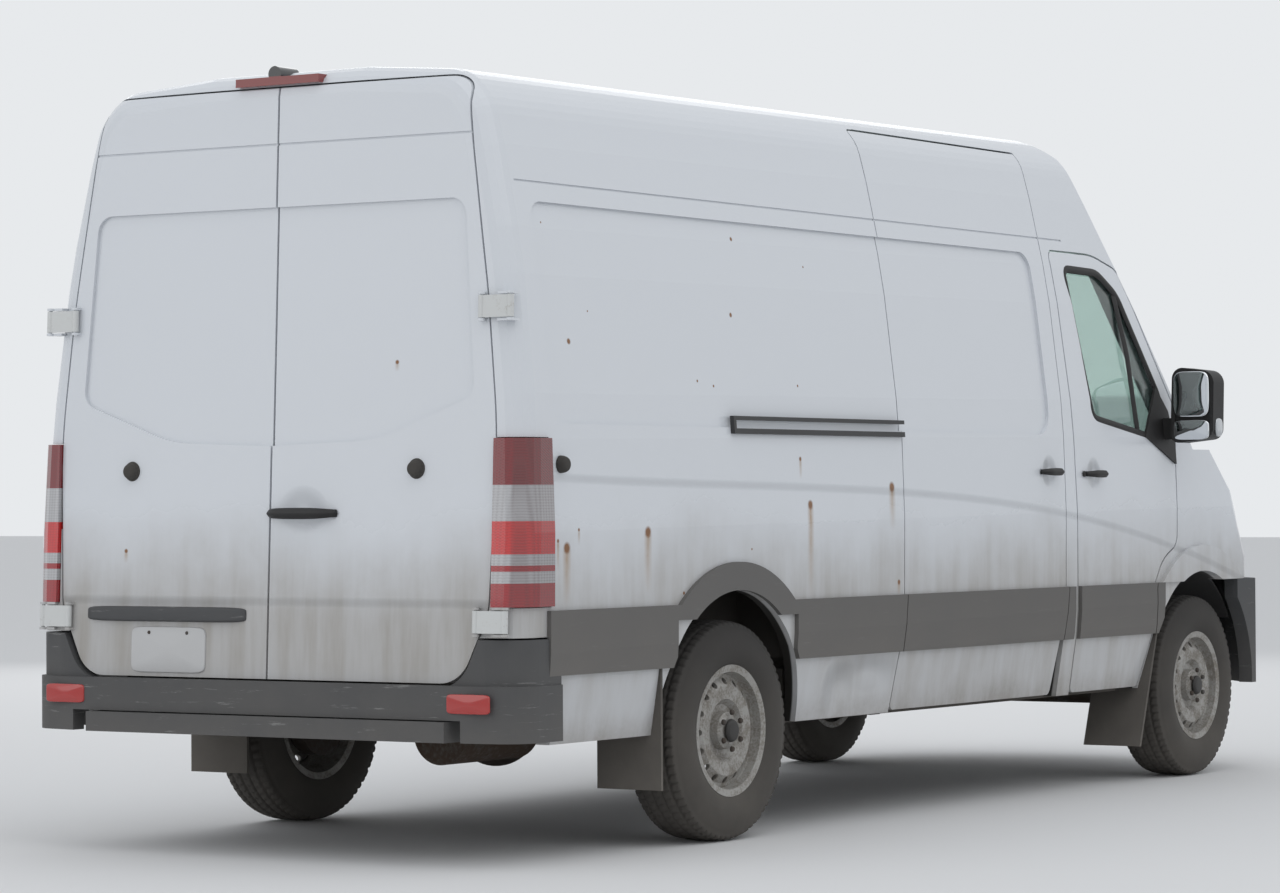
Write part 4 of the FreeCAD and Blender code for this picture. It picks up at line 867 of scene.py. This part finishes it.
# %% [markdown]
# The rear doors swing right round and rest against the sides, so each has a round rubber buffer, and
# each side of the body has a smaller one to meet it. A turned profile could give one. A cushion with a
# wide soft edge on a thin foot looks the same and needs no new helper.

# %% Rubber buffers
DOOR_BUFFER_Y, DOOR_BUFFER_Z = 0.582, 1.252
DOOR_BUFFER = (("foot", 0.066, 0.008), ("pad", 0.056, 0.026))         # name, width and depth
SIDE_BUFFER_X, SIDE_BUFFER_Z, SIDE_BUFFER_SIZE = -1.045, 1.263, (0.050, 0.056)
for sign, side in ((1, "left"), (-1, "right")):
    spot = at(tail_x(DOOR_BUFFER_Z) + 0.001, sign * DOOR_BUFFER_Y, DOOR_BUFFER_Z)
    for name, size, depth in DOOR_BUFFER:
        piece = cushion(f"door_buffer_{name}_{side}", spot, ACROSS_BACK, UPWARD, (size, size), depth,
                        f"rear_door_{side}", flap_rubber, edge=0.45)
    piece = cushion(f"side_buffer_{side}", on_side(SIDE_BUFFER_X, SIDE_BUFFER_Z, sign, -0.002),
                    (-sign, 0, 0), UPWARD, SIDE_BUFFER_SIZE, 0.030, "van_body", flap_rubber, edge=0.5)
print("door buffers are", round(1000 * depth), "mm deep")

# %% [markdown]
# Low on the left rear door is the number plate, left blank, with a grey strip above it that hides its
# lamps. They could be boxes with a Bevel modifier, which cushions with a high power already are. Both
# lean with the door, so the upward direction of these pieces follows the tail's slope.

# %% Blank plates, plate lamps' strip and reflectors
LEAN_UP = (TAIL_LEAN, 0, 1)
PLATE_SIZE, PLATE_Y, PLATE_Z, FRONT_PLATE_Z = (0.314, 0.150), 0.410, 0.666, 0.665
SCREW_Z, SCREWS, SCREW_SIZE = 0.722, (0.33, 0.49), (0.012, 0.012)
STRIP_SIZE, STRIP_Y, STRIP_Z = (0.673, 0.050), 0.4235, 0.7825
REFLECTOR_SIZE, REFLECTOR_Y, REFLECTOR_Z = (0.165, 0.062), 0.822, 0.517


def on_tail(y, z, proud):
    """The place on the leaning tail at y, z."""
    return at(tail_x(z) - proud, y, z)


cushion("rear_plate", on_tail(PLATE_Y, PLATE_Z, -0.001), ACROSS_BACK, LEAN_UP, PLATE_SIZE, 0.006,
        "rear_door_left", plate_blank, power=9.0, edge=0.03)
for y in SCREWS:
    cushion(f"plate_screw_{int(y * 100)}", on_tail(y, SCREW_Z, 0.004), ACROSS_BACK, LEAN_UP,
            SCREW_SIZE, 0.004, "rear_door_left", cast_parts, nu=16)
strip = cushion("plate_lamp_strip", on_tail(STRIP_Y, STRIP_Z, -0.002), ACROSS_BACK, LEAN_UP, STRIP_SIZE,
                0.022, "rear_door_left", bumper_grey, power=7.0, edge=0.25, nu=64)
low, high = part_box("front_bumper")
cushion("front_plate", (high.x - 0.006, 0.0, FRONT_PLATE_Z), (0, 1, 0), UPWARD, PLATE_SIZE, 0.008,
        "van_body", plate_blank, power=9.0, edge=0.03)
low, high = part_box("rear_bumper")
for sign, side in ((1, "left"), (-1, "right")):
    cushion(f"rear_reflector_{side}", (low.x + 0.004, sign * REFLECTOR_Y, REFLECTOR_Z), ACROSS_BACK,
            UPWARD, REFLECTOR_SIZE, 0.007, "van_body", red_lens, power=8.0, edge=0.05)
print("bumper's rear face at x", round(low.x, 3))

# %% [markdown]
# Behind the grille and the slot in the bumper stands the radiator, with a wide shroud low behind it and
# an upright one at each end. They could have fins and hoses. They are only dark flat slabs, because so
# little of them shows, but without them the pale floor would be seen through both openings.

# %% Radiator
SLABS = (("radiator", 4.235, 0.695, (1.13, 0.65)), ("radiator_shroud", 4.200, 0.545, (1.44, 0.35)))
END_X, END_Y, END_Z, END_SIZE = 4.335, 0.570, 0.59, (0.17, 0.42)
for name, x, z, size in SLABS:
    cushion(name, at(x, 0.0, z), (0, 1, 0), UPWARD, size, 0.045, "van_body", under_black, power=12.0,
            edge=0.04)
for sign, side in ((1, "left"), (-1, "right")):
    cushion(f"side_shroud_{side}", at(END_X, sign * END_Y, END_Z), (-sign, 0, 0), UPWARD, END_SIZE,
            0.03, "van_body", under_black, power=12.0, edge=0.04)
print("slabs behind the grille:", len(SLABS) + 2)

# %% [markdown]
# Each hinge link is bolted at both ends with dark bolts that show against the white plates. The four
# bolts of a link are one object on the link's own body, so they swing with it.

# %% Hinge bolts
HINGE_BOLT_Z, HINGE_BOLT_Y, HINGE_BOLT_SIZE = (0.772, 1.757), (-0.028, 0.028), 0.020
for sign, side in ((1, "left"), (-1, "right")):
    low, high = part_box(f"hinge_links_{side}")
    mid_y = (low.y + high.y) / 2
    bolts = []
    for z in HINGE_BOLT_Z:
        for dy in HINGE_BOLT_Y:
            spot = at(tail_x(z) - 0.014, mid_y + dy, z)
            bolts.append(cushion(f"hinge_bolt_{dy}_{z}", spot, ACROSS_BACK, UPWARD,
                                 (HINGE_BOLT_SIZE, HINGE_BOLT_SIZE), 0.006, f"rear_link_{side}",
                                 deep_black, nu=16))
    joined(f"hinge_bolts_{side}", bolts)
print("hinge links", [round(v, 3) for v in (*low, *high)])

# %% [markdown]
# Two wiper arms lie at the foot of the windscreen. Each is a thin tapering bar with a blade along the
# glass. They could be placed by eye against the glass. Here the glass itself is measured: it leans back
# at one slope, and its foot curves back towards the sides, so each point of an arm is set from it.

# %% Wipers
SCREEN_FOOT_Z, SCREEN_LEAN = 1.345, 785.0 / 890.0     # start of the slope, and metres back per metre up
BLADE_Z, BLADE_RISE, ARM_Z, ARM_RISE = 1.425, 0.03, 1.375, 0.065
BLADE_OVAL, BLADE_PROUD, ARM_PROUD, FACING_UP = (0.005, 0.010), 0.012, 0.020, (0.7, 0, 0.7)
WIPERS = ((-0.62, 0.02, "right"), (0.10, 0.70, "left"))                # y of both ends
screen = nodes["windscreen"].data
co = np.zeros(len(screen.vertices) * 3)
screen.vertices.foreach_get("co", co)
co = co.reshape(-1, 3)
foot_all = co[:, 0] - REAR_AXLE + SCREEN_LEAN * (co[:, 2] - SCREEN_FOOT_Z)
SCREEN_Y = np.linspace(0.0, 0.74, 9)
SCREEN_FOOT = np.array([foot_all[np.abs(np.abs(co[:, 1]) - y) < 0.12].max() for y in SCREEN_Y])


def on_screen(y, z, proud):
    """x = foot(|y|) - lean * (z - foot's height) + proud, with the foot read off the glass."""
    foot = np.interp(np.abs(y), SCREEN_Y, SCREEN_FOOT)
    return at(foot - SCREEN_LEAN * (np.asarray(z) - SCREEN_FOOT_Z) + proud, y, z)


for start, end, name in WIPERS:
    t = np.linspace(0, 1, 16)
    path = on_screen(start + (end - start) * t, BLADE_Z + BLADE_RISE * np.sin(np.pi * t), BLADE_PROUD)
    piece = swept(f"wiper_blade_{name}", path, BLADE_OVAL, "van_body", deep_black, keep=FACING_UP)
    path = on_screen(start + 0.02 + (0.5 * (start + end) - start) * t, ARM_Z + ARM_RISE * t,
                     ARM_PROUD)
    oval = np.stack([0.013 - 0.007 * t, 0.007 - 0.002 * t], -1)
    piece = swept(f"wiper_arm_{name}", path, oval, "van_body", deep_black, keep=FACING_UP)
print("screen foot", np.round(SCREEN_FOOT, 3).tolist())

# %% [markdown]
# The studio is kept plain, so that the van's own colours show. Its floor could be a small disc with a
# curved backdrop. A wide flat one is enough, since it runs to the horizon in every view.

# %% Floor
FLOOR_HALF = 90.0
floor = Finish("studio_floor", Base_Color=(0.74, 0.74, 0.74), Roughness=0.9)
corners = [(-FLOOR_HALF, -FLOOR_HALF, 0), (FLOOR_HALF, -FLOOR_HALF, 0), (FLOOR_HALF, FLOOR_HALF, 0),
           (-FLOOR_HALF, FLOOR_HALF, 0)]
ground = bpy.data.meshes.new("studio_floor")
ground.from_pydata(corners, [], [(0, 1, 2, 3)])
ground.materials.append(floor.material)
ground = bpy.data.objects.new("studio_floor", ground)
bpy.context.scene.collection.objects.link(ground)
print("floor", 2 * FLOOR_HALF, "m wide")

# %% [markdown]
# The world does two jobs. It lights the van at a plain level, and it is the pale background that the
# camera, reflections and glass see. One colour for both would be either too dark behind the van or too
# bright on it, so the Light Path node picks between two.

# %% World
SHOWN, LIT, LIT_STRENGTH = (0.80, 0.82, 0.84, 1.0), (0.93, 0.96, 1.0, 1.0), 0.72
world = bpy.data.worlds.new("studio")
bpy.context.scene.world = world
world.use_nodes = True
tree = world.node_tree
tree.nodes.clear()
ray, pick = tree.nodes.new("ShaderNodeLightPath"), tree.nodes.new("ShaderNodeMixShader")
shown, lit = tree.nodes.new("ShaderNodeBackground"), tree.nodes.new("ShaderNodeBackground")
shown.inputs["Color"].default_value = SHOWN
lit.inputs["Color"].default_value = LIT
lit.inputs["Strength"].default_value = LIT_STRENGTH
indirect, seen = tree.nodes.new("ShaderNodeMath"), tree.nodes.new("ShaderNodeMath")
indirect.operation = seen.operation = "MAXIMUM"
for source, target in (
        (ray.outputs["Is Glossy Ray"], indirect.inputs[0]),
        (ray.outputs["Is Transmission Ray"], indirect.inputs[1]),
        (ray.outputs["Is Camera Ray"], seen.inputs[0]), (indirect.outputs[0], seen.inputs[1]),
        (seen.outputs[0], pick.inputs[0]), (lit.outputs[0], pick.inputs[1]),
        (shown.outputs[0], pick.inputs[2]),
        (pick.outputs[0], tree.nodes.new("ShaderNodeOutputWorld").inputs[0])):
    tree.links.new(source, target)
print("world links:", len(tree.links))

# %% [markdown]
# Three large lamps round the van off. Small lamps or a sun would give hard shadows; the larger a lamp,
# the softer its shadow. The strongest stands above the side that the photograph shows.

# %% Soft lamps
VAN_MIDDLE = Vector((0, 0, 1.0))


def soft_lamp(name, place, power, size):
    """A square area lamp that looks at the middle of the van."""
    lamp = bpy.data.lights.new(name, "AREA")
    lamp.energy, lamp.shape, lamp.size = power, "SQUARE", size
    piece = bpy.data.objects.new(name, lamp)
    bpy.context.scene.collection.objects.link(piece)
    piece.location = place
    piece.rotation_euler = (VAN_MIDDLE - Vector(place)).to_track_quat("-Z", "Y").to_euler()


soft_lamp("lamp_over", (-2.0, -6.0, 10.0), 260.0, 12.0)
soft_lamp("lamp_rear", (-10.0, 3.0, 5.0), 110.0, 8.0)
soft_lamp("lamp_front", (9.0, 7.0, 6.0), 200.0, 9.0)
print("lamps:", len(bpy.data.lights))

# %% [markdown]
# The camera stands where the photograph was taken from. It could be moved by hand until the two look
# alike. It was solved instead from the wheels and door lines, whose places on the van are known. The
# solution is three angles, a focal length in pixels and a place.

# %% Camera
YAW, PITCH, ROLL, PIXELS = 0.5750, 0.0132, -0.0052, 3993.62
PHOTO_WIDTH, SENSOR_WIDTH = 1280.0, 36.0
CAMERA_PLACE = (-11.450 + REAR_AXLE, -8.0252, 1.1519)
ahead = Vector((math.cos(PITCH) * math.cos(YAW), math.cos(PITCH) * math.sin(YAW), math.sin(PITCH)))
right = Vector((math.sin(YAW), -math.cos(YAW), 0.0))
above = right.cross(ahead)
turned_right = math.cos(ROLL) * right + math.sin(ROLL) * above
turned_above = math.cos(ROLL) * above - math.sin(ROLL) * right
lens = bpy.data.cameras.new("photo_camera")
lens.sensor_width, lens.lens = SENSOR_WIDTH, PIXELS * SENSOR_WIDTH / PHOTO_WIDTH
lens.clip_end = 400.0
camera = bpy.data.objects.new("photo_camera", lens)
bpy.context.scene.collection.objects.link(camera)
stand = Matrix((turned_right, turned_above, -ahead)).transposed().to_4x4()
camera.matrix_world = Matrix.Translation(CAMERA_PLACE) @ stand
bpy.context.scene.camera = camera
bpy.context.scene.view_settings.view_transform = "Standard"
print("lens", round(lens.lens, 2), "mm")

# %% [markdown]
